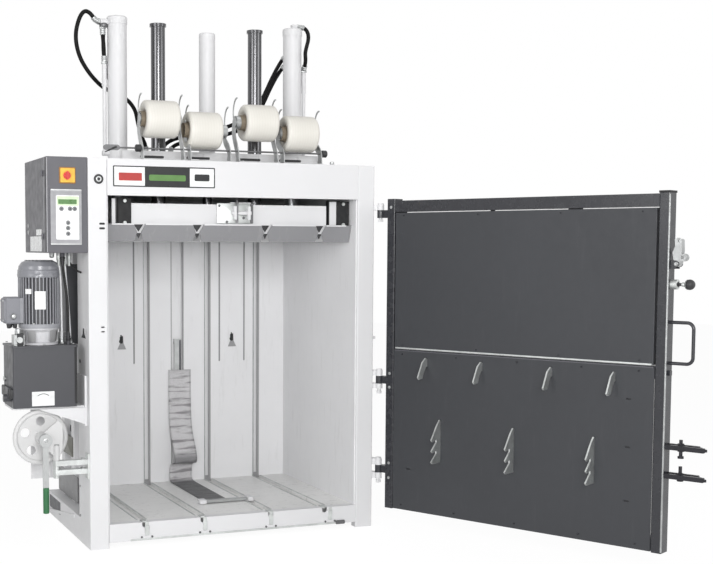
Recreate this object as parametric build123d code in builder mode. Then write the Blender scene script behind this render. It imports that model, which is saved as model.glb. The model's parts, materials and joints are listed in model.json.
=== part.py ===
# Recycling baler: a vertical press with a full-height front door, modelled with the door standing open.
# X points right, Y points back and Z points up, seen from the front. The sizes below are measured from the
# floor midway between the front posts, in the plane that the closed door shuts against, and each finished
# piece is then moved so that the files' origin lies under the middle of the left base rail. All sizes are
# millimetres.

import os
from math import cos, radians, sin, tan

from build123d import *

os.makedirs("parts", exist_ok=True)

# Driving dimensions of the press chamber and its frame
chamber_width = 1200.0
chamber_depth = 887.0
opening_top = 1548.0
head_height = 158.0
floor_height = 107.0
sill_clearance = 26.0
post_width = 85.0
post_depth = 205.0
post_return = 45.0
post_sheet = 5.0
post_bend = 6.0
head_sheet = 6.0
wall_sheet = 5.0
wall_setback = 12.0
floor_sheet = 7.0
rib_width = 60.0
rib_depth = 30.0
rib_sheet = 4.0
rib_count = 3
rail_height = 110.0
rail_wall = 5.0
cross_rail_width = 60.0
rear_tube_width = 50.0
rear_tube_wall = 4.0
rear_frame_depth = 48.0

# Strap channels, which run down the back wall and forward along the floor
strap_inner = 165.0
strap_outer = 438.0
channel_width = 36.0
channel_depth = 12.0
channel_sheet = 3.0
ejector_channel_width = 70.0

# Platen, its drive and its guides
platen_bottom = 1352.0
platen_plate = 12.0
platen_lip = 74.0
platen_front = 84.0
platen_gap = 10.0
platen_beam_top = 1518.0
platen_beam_half = chamber_width / 2 - 125
groove_width = 40.0
groove_depth = 30.0
platen_travel = 580.0
press_line = 415.0
cylinder_offset = 440.0
cylinder_radius = 45.0
cylinder_bore = 37.0
cylinder_top = 2385.0
piston_radius = 36.5
piston_height = 28.0
rod_radius = 28.0
column_offset = 243.0
column_radius = 33.5
column_top = 2350.0
column_cap_radius = 39.0
column_cap_height = 14.0
centre_tube_radius = 38.5
centre_tube_bore = 30.0
centre_tube_top = 2335.0
centre_rod_radius = 22.0
bush_radius = 50.0
bush_height = 40.0
running_fit = 0.05
seat_gap = 0.3

# Strap reels and the cradles that hold them
reel_radius = 82.5
reel_width = 124.0
reel_core = 30.0
reel_line = 95.0
reel_high = 1890.0
reel_low = 1847.0
reel_outer_x = 335.0
reel_inner_x = 135.0
cradle_outer_x = 333.0
cradle_inner_x = 115.0
cradle_half = 92.0
cradle_sheet = 4.0

# Door, opened from its closed place by the angle in the photograph
door_margin = 3.0
door_bottom = 95.0
door_top = 1546.0
door_thickness = 65.0
door_open_angle = 117.0
door_gap = 2.0
hinge_standoff = 30.0
hinge_y = -6.0
hinge_reach = 40.0
hinge_pin_radius = 9.0
hinge_post = 44.0
free_post = 44.0
door_rail = 52.0
flap_bottom = 857.0
flap_gap = 8.0
door_tube_wall = 4.0
door_sheet = 4.0
flap_depth = 40.0
fork_upper = 531.0
fork_lower = 412.0
fork_reach = 172.0

# Units on the left side
cabinet_width = 178.0
cabinet_height = 409.0
cabinet_depth = 460.0
cabinet_bottom = 1299.0
cabinet_front = 5.0
cabinet_cover = 60.0
cabinet_sheet = 2.0
tank_width = 278.0
tank_depth = 226.0
tank_height = 268.0
tank_bottom = 632.0
tank_front = 52.0
tank_side_gap = 42.0
tank_sheet = 3.0
motor_radius = 82.0
motor_fin_radius = 91.0
motor_fin_count = 36
motor_foot = 985.0
motor_body_height = 208.0
cowl_height = 74.0
bell_radius = 72.0

# Door lock beside the left post
lock_pin_standoff = 141.0
lock_pin_y = 30.0
lock_axis_offset = 55.0
lock_axis_z = 498.0
wheel_radius = 121.0
wheel_line = 98.0
wheel_rim = 11.0
spindle_radius = 12.0
lever_length = 205.0
grip_length = 112.0

half_opening = chamber_width / 2
frame_half = half_opening + post_width
head_top = opening_top + head_height
head_under = head_top - head_sheet
wall_inner = half_opening - wall_sheet
back_rear = chamber_depth + wall_sheet
rear_front = chamber_depth + channel_depth + channel_sheet
frame_rear = back_rear + rear_frame_depth
hinge_x = frame_half + hinge_standoff
door_width = 2 * (frame_half - door_margin)
lock_pin_x = -frame_half - lock_pin_standoff
lock_axis_x = lock_pin_x - lock_axis_offset
sole_middle = 500.0
strap_lines = (-strap_outer, -strap_inner, strap_inner, strap_outer)


def upright_at(y):
    """The plane facing the front at a given depth; a negative amount extrudes towards the back."""
    return Plane.XZ.offset(-y)


def section_at(x):
    """The plane facing right at a given X, with Y across it and Z up it."""
    return Plane.YZ.offset(x)


def finish(piece, name):
    """Label a piece, move it to where the files' origin puts it and write its file."""
    placed = piece.part.moved(Location((half_opening + post_width / 2, -sole_middle, 0)))
    placed.label = name
    export_step(placed, f"parts/{name}.step")


# Keyholes for the hooks of tools, in the left post and in the back wall
keyhole_radius = 11.0
keyhole_rise = 16.0
keyhole_slot = 36.0
keyhole_width = 9.0

# Front posts: channels folded from sheet, open towards the back of the chamber wall
post_slots = (1405.0, 1425.0, 958.0, 978.0)
post_keyhole = 951.0
for side, name in ((-1, "left_post"), (1, "right_post")):
    post_middle = side * (half_opening + post_width / 2)
    with BuildPart() as post:
        with BuildSketch(Plane.XY) as post_profile:
            with Locations((post_middle, post_depth / 2)):
                Rectangle(post_width, post_depth)
            fillet(post_profile.vertices().group_by(Axis.Y)[0], radius=post_bend)
            with Locations((post_middle, post_depth / 2)):
                Rectangle(post_width - 2 * post_sheet, post_depth - 2 * post_sheet, mode=Mode.SUBTRACT)
            with Locations((side * (half_opening + post_sheet / 2), (post_return + post_depth - post_sheet) / 2)):
                Rectangle(post_sheet, post_depth - post_sheet - post_return, mode=Mode.SUBTRACT)
            with Locations((side * (half_opening + post_width / 4), post_depth - post_sheet / 2)):
                Rectangle(post_width / 2, post_sheet, mode=Mode.SUBTRACT)
        extrude(amount=head_under)
        if side < 0:
            with BuildSketch(upright_at(0)):
                with Locations((-half_opening - 38, opening_top + 68)):
                    Circle(17)
                with Locations(*[(-half_opening - 23, z) for z in post_slots]):
                    SlotOverall(16, 6)
            extrude(amount=-post_sheet, mode=Mode.SUBTRACT)
            with BuildSketch(section_at(-frame_half)):
                with Locations((62, post_keyhole)):
                    Circle(keyhole_radius)
                with Locations((62, post_keyhole + keyhole_rise)):
                    SlotOverall(keyhole_slot, keyhole_width, rotation=90)
            extrude(amount=post_sheet, mode=Mode.SUBTRACT)
    finish(post, name)

# Base frame: two side rails of box section and the cross rails under the floor
cross_rail_top = floor_height - channel_depth - channel_sheet
rail_rear = back_rear - 20
with BuildPart() as base_frame:
    with BuildSketch(upright_at(post_depth)):
        with Locations(*[(side * (half_opening + post_width / 2), rail_height / 2) for side in (-1, 1)]):
            Rectangle(post_width, rail_height)
            Rectangle(post_width - 2 * rail_wall, rail_height - 2 * rail_wall, mode=Mode.SUBTRACT)
    extrude(amount=-(rail_rear - post_depth))
    with BuildSketch(section_at(-half_opening)):
        cross_height = cross_rail_top - sill_clearance
        rear_rail = back_rear - cross_rail_width / 2
        front_rail = post_depth + cross_rail_width / 2
        for rail_line in (front_rail, (front_rail + rear_rail) / 2, rear_rail - 25):
            with Locations((rail_line, sill_clearance + cross_height / 2)):
                Rectangle(cross_rail_width, cross_height)
                Rectangle(cross_rail_width - 2 * rail_wall, cross_height - 2 * rail_wall, mode=Mode.SUBTRACT)
    extrude(amount=chamber_width)
finish(base_frame, "base_frame")

# Front sill: a folded channel between the posts, notched where the straps come out
sill_depth = 40.0
with BuildPart() as front_sill:
    with BuildSketch(section_at(-half_opening)) as sill_profile:
        sill_height = floor_height - sill_clearance
        with Locations((sill_depth / 2, sill_clearance + sill_height / 2)):
            Rectangle(sill_depth, sill_height)
        with Locations(((sill_depth + post_sheet) / 2, sill_clearance + sill_height / 2)):
            Rectangle(sill_depth - post_sheet, sill_height - 2 * post_sheet, mode=Mode.SUBTRACT)
    extrude(amount=chamber_width)
    with BuildSketch(upright_at(0)):
        with Locations(*[(x, floor_height) for x in strap_lines]):
            SlotOverall(2 * channel_depth + 2 * channel_width / 3, channel_width * 0.7, rotation=90)
    extrude(amount=-sill_depth, mode=Mode.SUBTRACT)
finish(front_sill, "front_sill")

# Floor plate with its strap channels pressed down into it
with BuildPart() as floor_plate:
    with BuildSketch(upright_at(sill_depth)):
        with Locations((0, floor_height - floor_sheet / 2)):
            Rectangle(2 * wall_inner, floor_sheet)
        with Locations(*[(x, floor_height - (channel_depth + channel_sheet) / 2) for x in strap_lines]):
            Rectangle(channel_width + 2 * channel_sheet, channel_depth + channel_sheet)
        with Locations(*[(x, floor_height - channel_depth / 2) for x in strap_lines]):
            Rectangle(channel_width, channel_depth, mode=Mode.SUBTRACT)
    extrude(amount=-(chamber_depth - sill_depth))
finish(floor_plate, "floor_plate")

# Back wall: the same strap channels, a middle channel for the ejector tongue, slots and keyholes
slot_lines = (-strap_outer + 68, -strap_inner - 67, strap_inner + 67, strap_outer - 68)
wall_keyhole = 845.0
wall_keyhole_line = 300.0
slot_bottom = 727.0
slot_top = 1420.0
with BuildPart() as back_wall:
    with BuildSketch(Plane.XY.offset(floor_height)):
        with Locations((0, chamber_depth + wall_sheet / 2)):
            Rectangle(2 * wall_inner, wall_sheet)
        back_channels = [(x, channel_width) for x in strap_lines] + [(0.0, ejector_channel_width)]
        for x, width in back_channels:
            with Locations((x, chamber_depth + (channel_depth + channel_sheet) / 2)):
                Rectangle(width + 2 * channel_sheet, channel_depth + channel_sheet)
        for x, width in back_channels:
            with Locations((x, chamber_depth + channel_depth / 2)):
                Rectangle(width, channel_depth, mode=Mode.SUBTRACT)
    extrude(amount=head_under - floor_height)
    with BuildSketch(upright_at(chamber_depth)):
        with Locations(*[(x, (slot_bottom + slot_top) / 2) for x in slot_lines]):
            SlotOverall(slot_top - slot_bottom, 9, rotation=90)
        with Locations((-wall_keyhole_line, wall_keyhole), (wall_keyhole_line, wall_keyhole)):
            Circle(keyhole_radius)
        with Locations(*[(x, wall_keyhole + keyhole_rise) for x in (-wall_keyhole_line, wall_keyhole_line)]):
            SlotOverall(keyhole_slot, keyhole_width, rotation=90)
    extrude(amount=-wall_sheet, mode=Mode.SUBTRACT)
finish(back_wall, "back_wall")

# Side walls: flat plates inside the posts, with hat-section ribs welded outside
rib_pitch = (back_rear - post_depth) / (rib_count + 0.35)
for side, name in ((-1, "left_side_wall"), (1, "right_side_wall")):
    with BuildPart() as side_wall:
        with BuildSketch(Plane.XY.offset(floor_height)):
            with Locations((side * (half_opening - wall_sheet / 2), (wall_setback + back_rear) / 2)):
                Rectangle(wall_sheet, back_rear - wall_setback)
        extrude(amount=head_under - floor_height)
        with BuildSketch(Plane.XY.offset(rail_height)):
            for rib in range(rib_count):
                rib_line = post_depth + rib_pitch * (rib + 0.75)
                with Locations((side * (half_opening + rib_depth / 2), rib_line)):
                    Rectangle(rib_depth, rib_width)
                with Locations((side * (half_opening + (rib_depth - rib_sheet) / 2), rib_line)):
                    Rectangle(rib_depth - rib_sheet, rib_width - 2 * rib_sheet, mode=Mode.SUBTRACT)
        extrude(amount=head_under - rail_height)
    finish(side_wall, name)

# Rear frame: two uprights and three cross tubes behind the back wall
with BuildPart() as rear_frame:
    upright_x = wall_inner - rear_tube_width / 2
    with BuildSketch(Plane.XY):
        with Locations(*[(side * upright_x, back_rear + rear_frame_depth / 2) for side in (-1, 1)]):
            Rectangle(rear_tube_width, rear_frame_depth)
            Rectangle(rear_tube_width - 2 * rear_tube_wall, rear_frame_depth - 2 * rear_tube_wall,
                      mode=Mode.SUBTRACT)
    extrude(amount=head_under)
    with BuildSketch(section_at(rear_tube_width - wall_inner)):
        cross_depth = frame_rear - rear_front
        for z in (rail_height + rear_tube_width, (rail_height + head_under) / 2, head_under - rear_tube_width):
            with Locations((rear_front + cross_depth / 2, z)):
                Rectangle(cross_depth, rear_tube_width)
                Rectangle(cross_depth - 2 * rear_tube_wall, rear_tube_width - 2 * rear_tube_wall,
                          mode=Mode.SUBTRACT)
    extrude(amount=2 * (wall_inner - rear_tube_width))
finish(rear_frame, "rear_frame")

# Head fascia: a folded panel between the posts above the opening, its flanges notched for the side walls
fascia_depth = 35.0
fascia_height = head_under - opening_top
with BuildPart() as head_fascia:
    with BuildSketch(section_at(-half_opening)):
        with Locations((post_sheet / 2, opening_top + fascia_height / 2)):
            Rectangle(post_sheet, fascia_height)
    extrude(amount=chamber_width)
    with BuildSketch(section_at(-wall_inner)):
        with Locations((fascia_depth / 2, opening_top + fascia_height / 2)):
            Rectangle(fascia_depth, fascia_height)
        with Locations(((fascia_depth + post_sheet) / 2, opening_top + fascia_height / 2)):
            Rectangle(fascia_depth - post_sheet, fascia_height - 2 * post_sheet, mode=Mode.SUBTRACT)
    extrude(amount=2 * wall_inner)
finish(head_fascia, "head_fascia")

# Head plate with two channel beams under it, the holes for the press line, and the column bushes
head_beam_height = 100.0
head_beam_depth = 45.0
head_beam_wall = 8.0
feed_line = 190.0
feed_slot_width = 84.0
reel_places = ((-reel_outer_x, reel_high), (-reel_inner_x, reel_low), (reel_inner_x, reel_high),
               (reel_outer_x, reel_low))
with BuildPart() as head_plate:
    with BuildSketch(Plane.XY.offset(head_under)):
        with Locations((0, frame_rear / 2)):
            Rectangle(2 * frame_half, frame_rear)
        with Locations((-cylinder_offset, press_line), (cylinder_offset, press_line)):
            Circle(rod_radius + 2, mode=Mode.SUBTRACT)
        with Locations((-column_offset, press_line), (column_offset, press_line)):
            Circle(column_radius + 2, mode=Mode.SUBTRACT)
        with Locations((0, press_line)):
            Circle(centre_rod_radius + 4, mode=Mode.SUBTRACT)
        with Locations(*[(x, feed_line + 25) for x, z in reel_places]):
            Rectangle(feed_slot_width, 14, mode=Mode.SUBTRACT)
    extrude(amount=head_sheet)
    with BuildSketch(section_at(-wall_inner)):
        for beam_side in (-1, 1):
            beam_line = press_line + beam_side * (cylinder_radius + head_beam_depth)
            with Locations((beam_line, head_under - head_beam_height / 2)):
                Rectangle(head_beam_depth, head_beam_height)
            with Locations((beam_line + beam_side * head_beam_wall / 2, head_under - head_beam_height / 2)):
                Rectangle(head_beam_depth - head_beam_wall, head_beam_height - 2 * head_beam_wall,
                          mode=Mode.SUBTRACT)
    extrude(amount=2 * wall_inner)
    with BuildSketch(Plane.XY.offset(head_top)):
        with Locations((-column_offset, press_line), (column_offset, press_line)):
            Circle(bush_radius)
            Circle(column_radius + running_fit, mode=Mode.SUBTRACT)
    extrude(amount=bush_height)
finish(head_plate, "head_plate")

# Cylinder barrels: flanged tube, gland, top cap, a lower port on the outer side and the upper ports
gland_height = 16.0
barrel_cap = 35.0
port_radius = 14.0
upper_port = cylinder_top - 28
lower_port = head_top + 52
upper_port_end = cylinder_offset + cylinder_radius + 35
lower_port_end = cylinder_offset + cylinder_radius + 4
drop_port_x = -cylinder_offset - 68
drop_port_end = upper_port - 22
cap_block = 26.0
cap_block_height = 20.0
cross_ports = (cylinder_top - 123, cylinder_top - 167)
cross_port_x = cylinder_offset - 8
cross_port_end = press_line + cylinder_radius + 8
for side, name in ((-1, "left_cylinder"), (1, "right_cylinder")):
    cylinder_x = side * cylinder_offset
    with BuildPart() as cylinder:
        with BuildSketch(Plane(origin=(cylinder_x, press_line, 0), x_dir=(1, 0, 0), z_dir=(0, -1, 0))):
            with BuildLine():
                Polyline((rod_radius + running_fit, head_top), (65, head_top), (65, head_top + gland_height),
                         (cylinder_radius + 6, head_top + gland_height),
                         (cylinder_radius, head_top + gland_height + 8),
                         (cylinder_radius, cylinder_top - barrel_cap),
                         (cylinder_radius + 2.5, cylinder_top - barrel_cap), (cylinder_radius + 2.5, cylinder_top - 6),
                         (cylinder_radius - 4, cylinder_top), (0, cylinder_top),
                         (0, cylinder_top - barrel_cap), (cylinder_bore, cylinder_top - barrel_cap),
                         (cylinder_bore, head_top + gland_height),
                         (rod_radius + running_fit, head_top + gland_height), close=True)
            make_face()
        revolve(axis=Axis((cylinder_x, press_line, 0), (0, 0, 1)))
        with BuildSketch(section_at(cylinder_x + side * (cylinder_radius - 4))):
            with Locations((press_line, lower_port)):
                Circle(port_radius)
        extrude(amount=side * 8)
        if side < 0:
            with BuildSketch(section_at(cylinder_x - cylinder_radius + 4)):
                with Locations((press_line, upper_port)):
                    Circle(port_radius)
            extrude(amount=-39)
            with BuildSketch(Plane.XY.offset(drop_port_end)):
                with Locations((drop_port_x, press_line)):
                    Circle(10.5)
            extrude(amount=upper_port - drop_port_end)
        else:
            with BuildSketch(Plane.XY.offset(cylinder_top)):
                with Locations((cylinder_x + 9, press_line)):
                    Rectangle(cap_block, cap_block)
            extrude(amount=cap_block_height)
            for port_z in cross_ports:
                with BuildSketch(upright_at(press_line + cylinder_radius - 6)):
                    with Locations((cross_port_x, port_z)):
                        Circle(port_radius)
                extrude(amount=-14)
    finish(cylinder, name)

# Centre guide tube, closed at its top
with BuildPart() as centre_guide_tube:
    with BuildSketch(Plane(origin=(0, press_line, 0), x_dir=(1, 0, 0), z_dir=(0, -1, 0))):
        with BuildLine():
            Polyline((centre_tube_bore, head_top), (58, head_top), (58, head_top + 12),
                     (centre_tube_radius, head_top + 12), (centre_tube_radius, centre_tube_top - 4),
                     (centre_tube_radius - 4, centre_tube_top), (0, centre_tube_top),
                     (0, centre_tube_top - 10), (centre_tube_bore, centre_tube_top - 10), close=True)
        make_face()
    revolve(axis=Axis((0, press_line, 0), (0, 0, 1)))
finish(centre_guide_tube, "centre_guide_tube")

# Return pipes: they stand beside the barrels and carry oil down to the lower ports
pipe_radius = 9.0
pipe_x = lower_port_end + 12
pipe_share = 0.676
left_pipe_top = head_top + pipe_share * (cylinder_top - head_top)
right_pipe_top = left_pipe_top + 13
with BuildPart() as return_pipes:
    for side, pipe_top in ((-1, left_pipe_top), (1, right_pipe_top)):
        with BuildSketch(section_at(side * lower_port_end)):
            with Locations((press_line, lower_port)):
                Circle(12)
        extrude(amount=side * 24)
        with BuildSketch(Plane.XY.offset(lower_port)):
            with Locations((side * pipe_x, press_line)):
                Circle(pipe_radius)
        extrude(amount=pipe_top - 90 - lower_port)
        with BuildSketch(Plane.XY.offset(pipe_top - 100)):
            with Locations((side * pipe_x, press_line)):
                RegularPolygon(12.5, 6)
        extrude(amount=34)
        with BuildSketch(Plane.XY.offset(pipe_top - 66)):
            with Locations((side * pipe_x, press_line)):
                Circle(11)
        extrude(amount=66)
finish(return_pipes, "return_pipes")

# Hydraulic block on the head plate, where the hoses meet
block_x = -212.0
block_y = 545.0
block_width = 170.0
block_depth = 60.0
block_height = 45.0
block_fitting = 16.0
block_ports = (-52.0, 30.0, 68.0)
with BuildPart() as hydraulic_block:
    with BuildSketch(Plane.XY.offset(head_top)):
        with Locations((block_x, block_y)):
            Rectangle(block_width, block_depth)
    extrude(amount=block_height)
    chamfer(hydraulic_block.edges().filter_by(Axis.Z), length=4)
    with BuildSketch(Plane.XY.offset(head_top + block_height)):
        with Locations(*[(block_x + offset, block_y) for offset in block_ports]):
            RegularPolygon(14, 6)
    extrude(amount=block_fitting)
finish(hydraulic_block, "hydraulic_block")


def hose(route, diameter):
    """A hose along straight runs joined by arcs as large as the two runs at each corner allow."""
    points = [Vector(*point) for point in route]
    radii = []
    for before, corner, after in zip(points, points[1:], points[2:]):
        run_in = corner - before
        run_out = after - corner
        turn = radians(run_in.get_angle(run_out))
        radii.append(0.45 * min(run_in.length, run_out.length) / tan(turn / 2))
    with BuildPart() as tube:
        with BuildLine() as path:
            FilletPolyline(*points, radius=radii)
        run = path.wire()
        with BuildSketch(Plane(origin=run @ 0, z_dir=run % 0)):
            Circle(diameter / 2)
        sweep()
    ideal = 3.14159 * diameter ** 2 / 4 * run.length
    print("hose length", round(run.length), "smallest radius", round(min(radii)),
          "volume ratio", round(tube.part.volume / ideal, 4))
    return tube


hose_diameter = 19.0
block_top = head_top + block_height + block_fitting
left_end, middle_end, right_end = (block_x + offset for offset in block_ports)

# The left upper port's hose: it loops out to the left, comes back behind the barrel and ends at the block
left_loop_hose = hose(
    ((-upper_port_end, press_line, upper_port), (-540, press_line, upper_port), (-563, 415, 2392), (-592, 415, 2404),
     (-618, 416, 2368), (-637, 418, 2288), (-620, 422, 2200), (-576, 432, 2132), (-526, 452, 2086), (-478, 484, 2060),
     (-412, 508, 2046), (-356, 518, 2016), (-322, 522, 1972), (-312, 526, 1920), (-290, 534, 1850),
     (left_end, block_y, block_top + 43), (left_end, block_y, block_top)), hose_diameter)
finish(left_loop_hose, "left_loop_hose")

# The hose from the left upper port's drop branch down to the left return pipe
left_short_hose = hose(
    ((drop_port_x, press_line, drop_port_end), (drop_port_x, press_line, drop_port_end - 36),
     (drop_port_x + 3, 409, 2250), (-pipe_x - 3, 408, 2205), (-pipe_x, press_line, left_pipe_top + 14),
     (-pipe_x, press_line, left_pipe_top)), hose_diameter)
finish(left_short_hose, "left_short_hose")

# The right cap's hose: over the edge of the cap, round the front of the barrel and down to its return pipe
cap_port_x = cylinder_offset + 9 + cap_block / 2
cap_port_z = cylinder_top + cap_block_height / 2
right_loop_hose = hose(
    ((cap_port_x, press_line, cap_port_z), (cap_port_x + 18, press_line, cap_port_z), (506, 412, 2393),
     (522, 408, 2368), (520, 402, 2335), (504, 388, 2300), (488, 368, 2266), (490, 366, 2236), (497, 388, 2212),
     (pipe_x, press_line, right_pipe_top + 16), (pipe_x, press_line, right_pipe_top)), hose_diameter)
finish(right_loop_hose, "right_loop_hose")

# Two hoses that cross over from behind the right barrel down to the block
crossing_hose_a = hose(
    ((cross_port_x, cross_port_end, cross_ports[0]), (cross_port_x, 500, cross_ports[0]), (408, 524, 2215),
     (376, 530, 2152), (350, 532, 2096), (322, 533, 2042), (282, 535, 1992), (226, 537, 1948), (158, 539, 1916),
     (80, 541, 1894), (0, 542, 1876), (-84, 543, 1858), (-146, block_y, 1838), (middle_end, block_y, block_top + 39),
     (middle_end, block_y, block_top)), hose_diameter)
finish(crossing_hose_a, "crossing_hose_a")
crossing_hose_b = hose(
    ((cross_port_x, cross_port_end, cross_ports[1]), (cross_port_x, 504, cross_ports[1]), (410, 542, 2172),
     (378, 552, 2108), (352, 554, 2052), (324, 555, 1998), (284, 557, 1948), (228, 559, 1906), (160, 561, 1880),
     (80, 561, 1862), (0, 558, 1848), (-70, 552, 1834), (-118, 547, 1818), (right_end, block_y, block_top + 29),
     (right_end, block_y, block_top)), hose_diameter)
finish(crossing_hose_b, "crossing_hose_b")

# Reel cradles: two curved arms on a foot plate, with the spindle between them and a hook over the reel
foot_length = 62.0
with BuildPart() as reel_cradles:
    cradle_places = ((-cradle_outer_x, reel_high), (-cradle_inner_x, reel_low), (cradle_inner_x, reel_high),
                     (cradle_outer_x, reel_low))
    for cradle_x, reel_z in cradle_places:
        for arm_x in (cradle_x - cradle_half - cradle_sheet, cradle_x + cradle_half):
            with BuildSketch(section_at(arm_x)):
                with BuildLine():
                    Spline((54, head_top + 14), (72, head_top + 70), (reel_line + 12, reel_z - 40), (reel_line, reel_z))
                trace(line_width=38)
                with Locations((reel_line, reel_z)):
                    Circle(24)
                with Locations((52, head_top + 10)):
                    Rectangle(46, 20)
                with BuildLine():
                    Spline((reel_line + 12, reel_z + 14), (reel_line + 16, reel_z + 60),
                           (reel_line - 8, reel_z + 100), (reel_line - 34, reel_z + 106))
                trace(line_width=7)
                with Locations((50, head_top + 51)):
                    Circle(4 + running_fit, mode=Mode.SUBTRACT)
            extrude(amount=cradle_sheet)
        with BuildSketch(Plane.XY.offset(head_top)):
            with Locations((cradle_x, 50)):
                Rectangle(2 * cradle_half + 2 * cradle_sheet, foot_length)
        extrude(amount=cradle_sheet)
        with BuildSketch(section_at(cradle_x - cradle_half)):
            with Locations((reel_line, reel_z)):
                Circle(reel_core - running_fit)
                Circle(reel_core - 3.5, mode=Mode.SUBTRACT)
        extrude(amount=2 * cradle_half)
finish(reel_cradles, "reel_cradles")

# Strap reels: wound rolls of strap on their cores
reel_names = ("reel_outer_left", "reel_inner_left", "reel_inner_right", "reel_outer_right")
for (reel_x, reel_z), name in zip(reel_places, reel_names):
    with BuildPart() as reel:
        with BuildSketch(Plane(origin=(reel_x, reel_line, reel_z), x_dir=(1, 0, 0), z_dir=(0, -1, 0))):
            with BuildLine():
                Polyline((-reel_width / 2, reel_core), (-reel_width / 2, reel_core + 5),
                         (-reel_width / 2 + 3, reel_core + 8), (-reel_width / 2 + 3, reel_radius - 7),
                         (-reel_width / 2 + 7, reel_radius - 2), (-reel_width / 2 + 14, reel_radius),
                         (reel_width / 2 - 14, reel_radius), (reel_width / 2 - 7, reel_radius - 2),
                         (reel_width / 2 - 3, reel_radius - 7), (reel_width / 2 - 3, reel_core + 8),
                         (reel_width / 2, reel_core + 5), (reel_width / 2, reel_core), close=True)
            make_face()
        revolve(axis=Axis((reel_x, reel_line, reel_z), (1, 0, 0)))
    finish(reel, name)

# Feed rail behind the reels: an angle with a slot for each strap, and a plastic guide behind each slot
feed_rail_height = 52.0
feed_rail_half = 480.0
guide_depth = 16.0
with BuildPart() as feed_rail:
    with BuildSketch(section_at(-feed_rail_half)):
        with Locations((feed_line + 2, head_top + feed_rail_height / 2)):
            Rectangle(4, feed_rail_height)
        with Locations((feed_line - 16, head_top + 2)):
            Rectangle(32, 4)
    extrude(amount=2 * feed_rail_half)
    with BuildSketch(upright_at(feed_line)):
        with Locations(*[(x, head_top + 28) for x, z in reel_places]):
            Rectangle(feed_slot_width, 30)
    extrude(amount=-4, mode=Mode.SUBTRACT)
    with BuildSketch(upright_at(feed_line + 4)):
        with Locations(*[(x, head_top + 24) for x, z in reel_places]):
            Rectangle(feed_slot_width + 14, 48)
            Rectangle(feed_slot_width - 8, 12, mode=Mode.SUBTRACT)
    extrude(amount=-guide_depth / 2)
finish(feed_rail, "feed_rail")

# Release rod through the cradle arms, flattened at its left end, with a knob at each end
rod_line = 50.0
rod_height = head_top + 51
with BuildPart() as release_rod:
    with BuildSketch(section_at(-535)):
        with Locations((rod_line, rod_height)):
            Circle(4)
    extrude(amount=535 + 462)
    with BuildSketch(upright_at(rod_line - 3)):
        with Locations((-566, rod_height)):
            SlotOverall(74, 24)
    extrude(amount=-6)
    for knob_x in (-458, 434):
        with BuildSketch(section_at(knob_x)):
            with Locations((rod_line, rod_height)):
                Circle(15)
        extrude(amount=24)
    fillet(release_rod.edges().filter_by(GeomType.CIRCLE).filter_by(lambda e: e.radius > 14 and e.radius < 16),
           radius=4)
finish(release_rod, "release_rod")

# Where the tank's level cable leaves the cabinet
cabinet_right = -frame_half - 1
cable_x = cabinet_right - 86
cable_y = 118.0
cable_gland = 16.0

# Switch cabinet: a folded box open at its front, with the lower half of each hinge on its left side
cabinet_middle = cabinet_right - cabinet_width / 2
switch_z = cabinet_bottom + 329
cabinet_body = cabinet_front + cabinet_cover + seat_gap
cabinet_hinge_x = cabinet_right - cabinet_width - 5.3
cabinet_hinge_y = cabinet_body - seat_gap / 2
cabinet_knuckle = 5.0
cabinet_pin = 2.5
cabinet_leaf = 3.0
cabinet_leaf_x = cabinet_right - cabinet_width - cabinet_leaf / 2
cabinet_leaf_shift = 11.0
knuckle_height = 12.0
cabinet_hinge_heights = (cabinet_bottom + 70, cabinet_bottom + cabinet_height - 70)

with BuildPart() as cabinet_box:
    with BuildSketch(upright_at(cabinet_body)) as cabinet_profile:
        with Locations((cabinet_middle, cabinet_bottom + cabinet_height / 2)):
            Rectangle(cabinet_width, cabinet_height)
    extrude(amount=-(cabinet_depth - cabinet_cover))
    fillet(cabinet_box.edges().filter_by(Axis.Y), radius=4)
    with BuildSketch(upright_at(cabinet_body)):
        with Locations((cabinet_middle, cabinet_bottom + cabinet_height / 2)):
            Rectangle(cabinet_width - 2 * cabinet_sheet, cabinet_height - 2 * cabinet_sheet)
    extrude(amount=-(cabinet_depth - cabinet_cover - cabinet_sheet), mode=Mode.SUBTRACT)
    with BuildSketch(section_at(cabinet_right)):
        with Locations(*[(y, z) for y in (70, 180) for z in (cabinet_bottom + 60, cabinet_bottom + 340)]):
            Circle(9)
    extrude(amount=1)
    with BuildSketch(Plane.XY.offset(cabinet_bottom - cable_gland)):
        with Locations((cable_x, cable_y)):
            Circle(10)
    extrude(amount=cable_gland)
    for z in cabinet_hinge_heights:
        with BuildSketch(Plane.XY.offset(z - knuckle_height)):
            with Locations((cabinet_hinge_x, cabinet_hinge_y)):
                Circle(cabinet_knuckle)
            with Locations((cabinet_leaf_x, cabinet_hinge_y + cabinet_leaf_shift)):
                Rectangle(cabinet_leaf, 18)
        extrude(amount=knuckle_height)
        with BuildSketch(Plane.XY.offset(z)):
            with Locations((cabinet_hinge_x, cabinet_hinge_y)):
                Circle(cabinet_pin)
        extrude(amount=knuckle_height + 3)
finish(cabinet_box, "cabinet_box")

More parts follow.
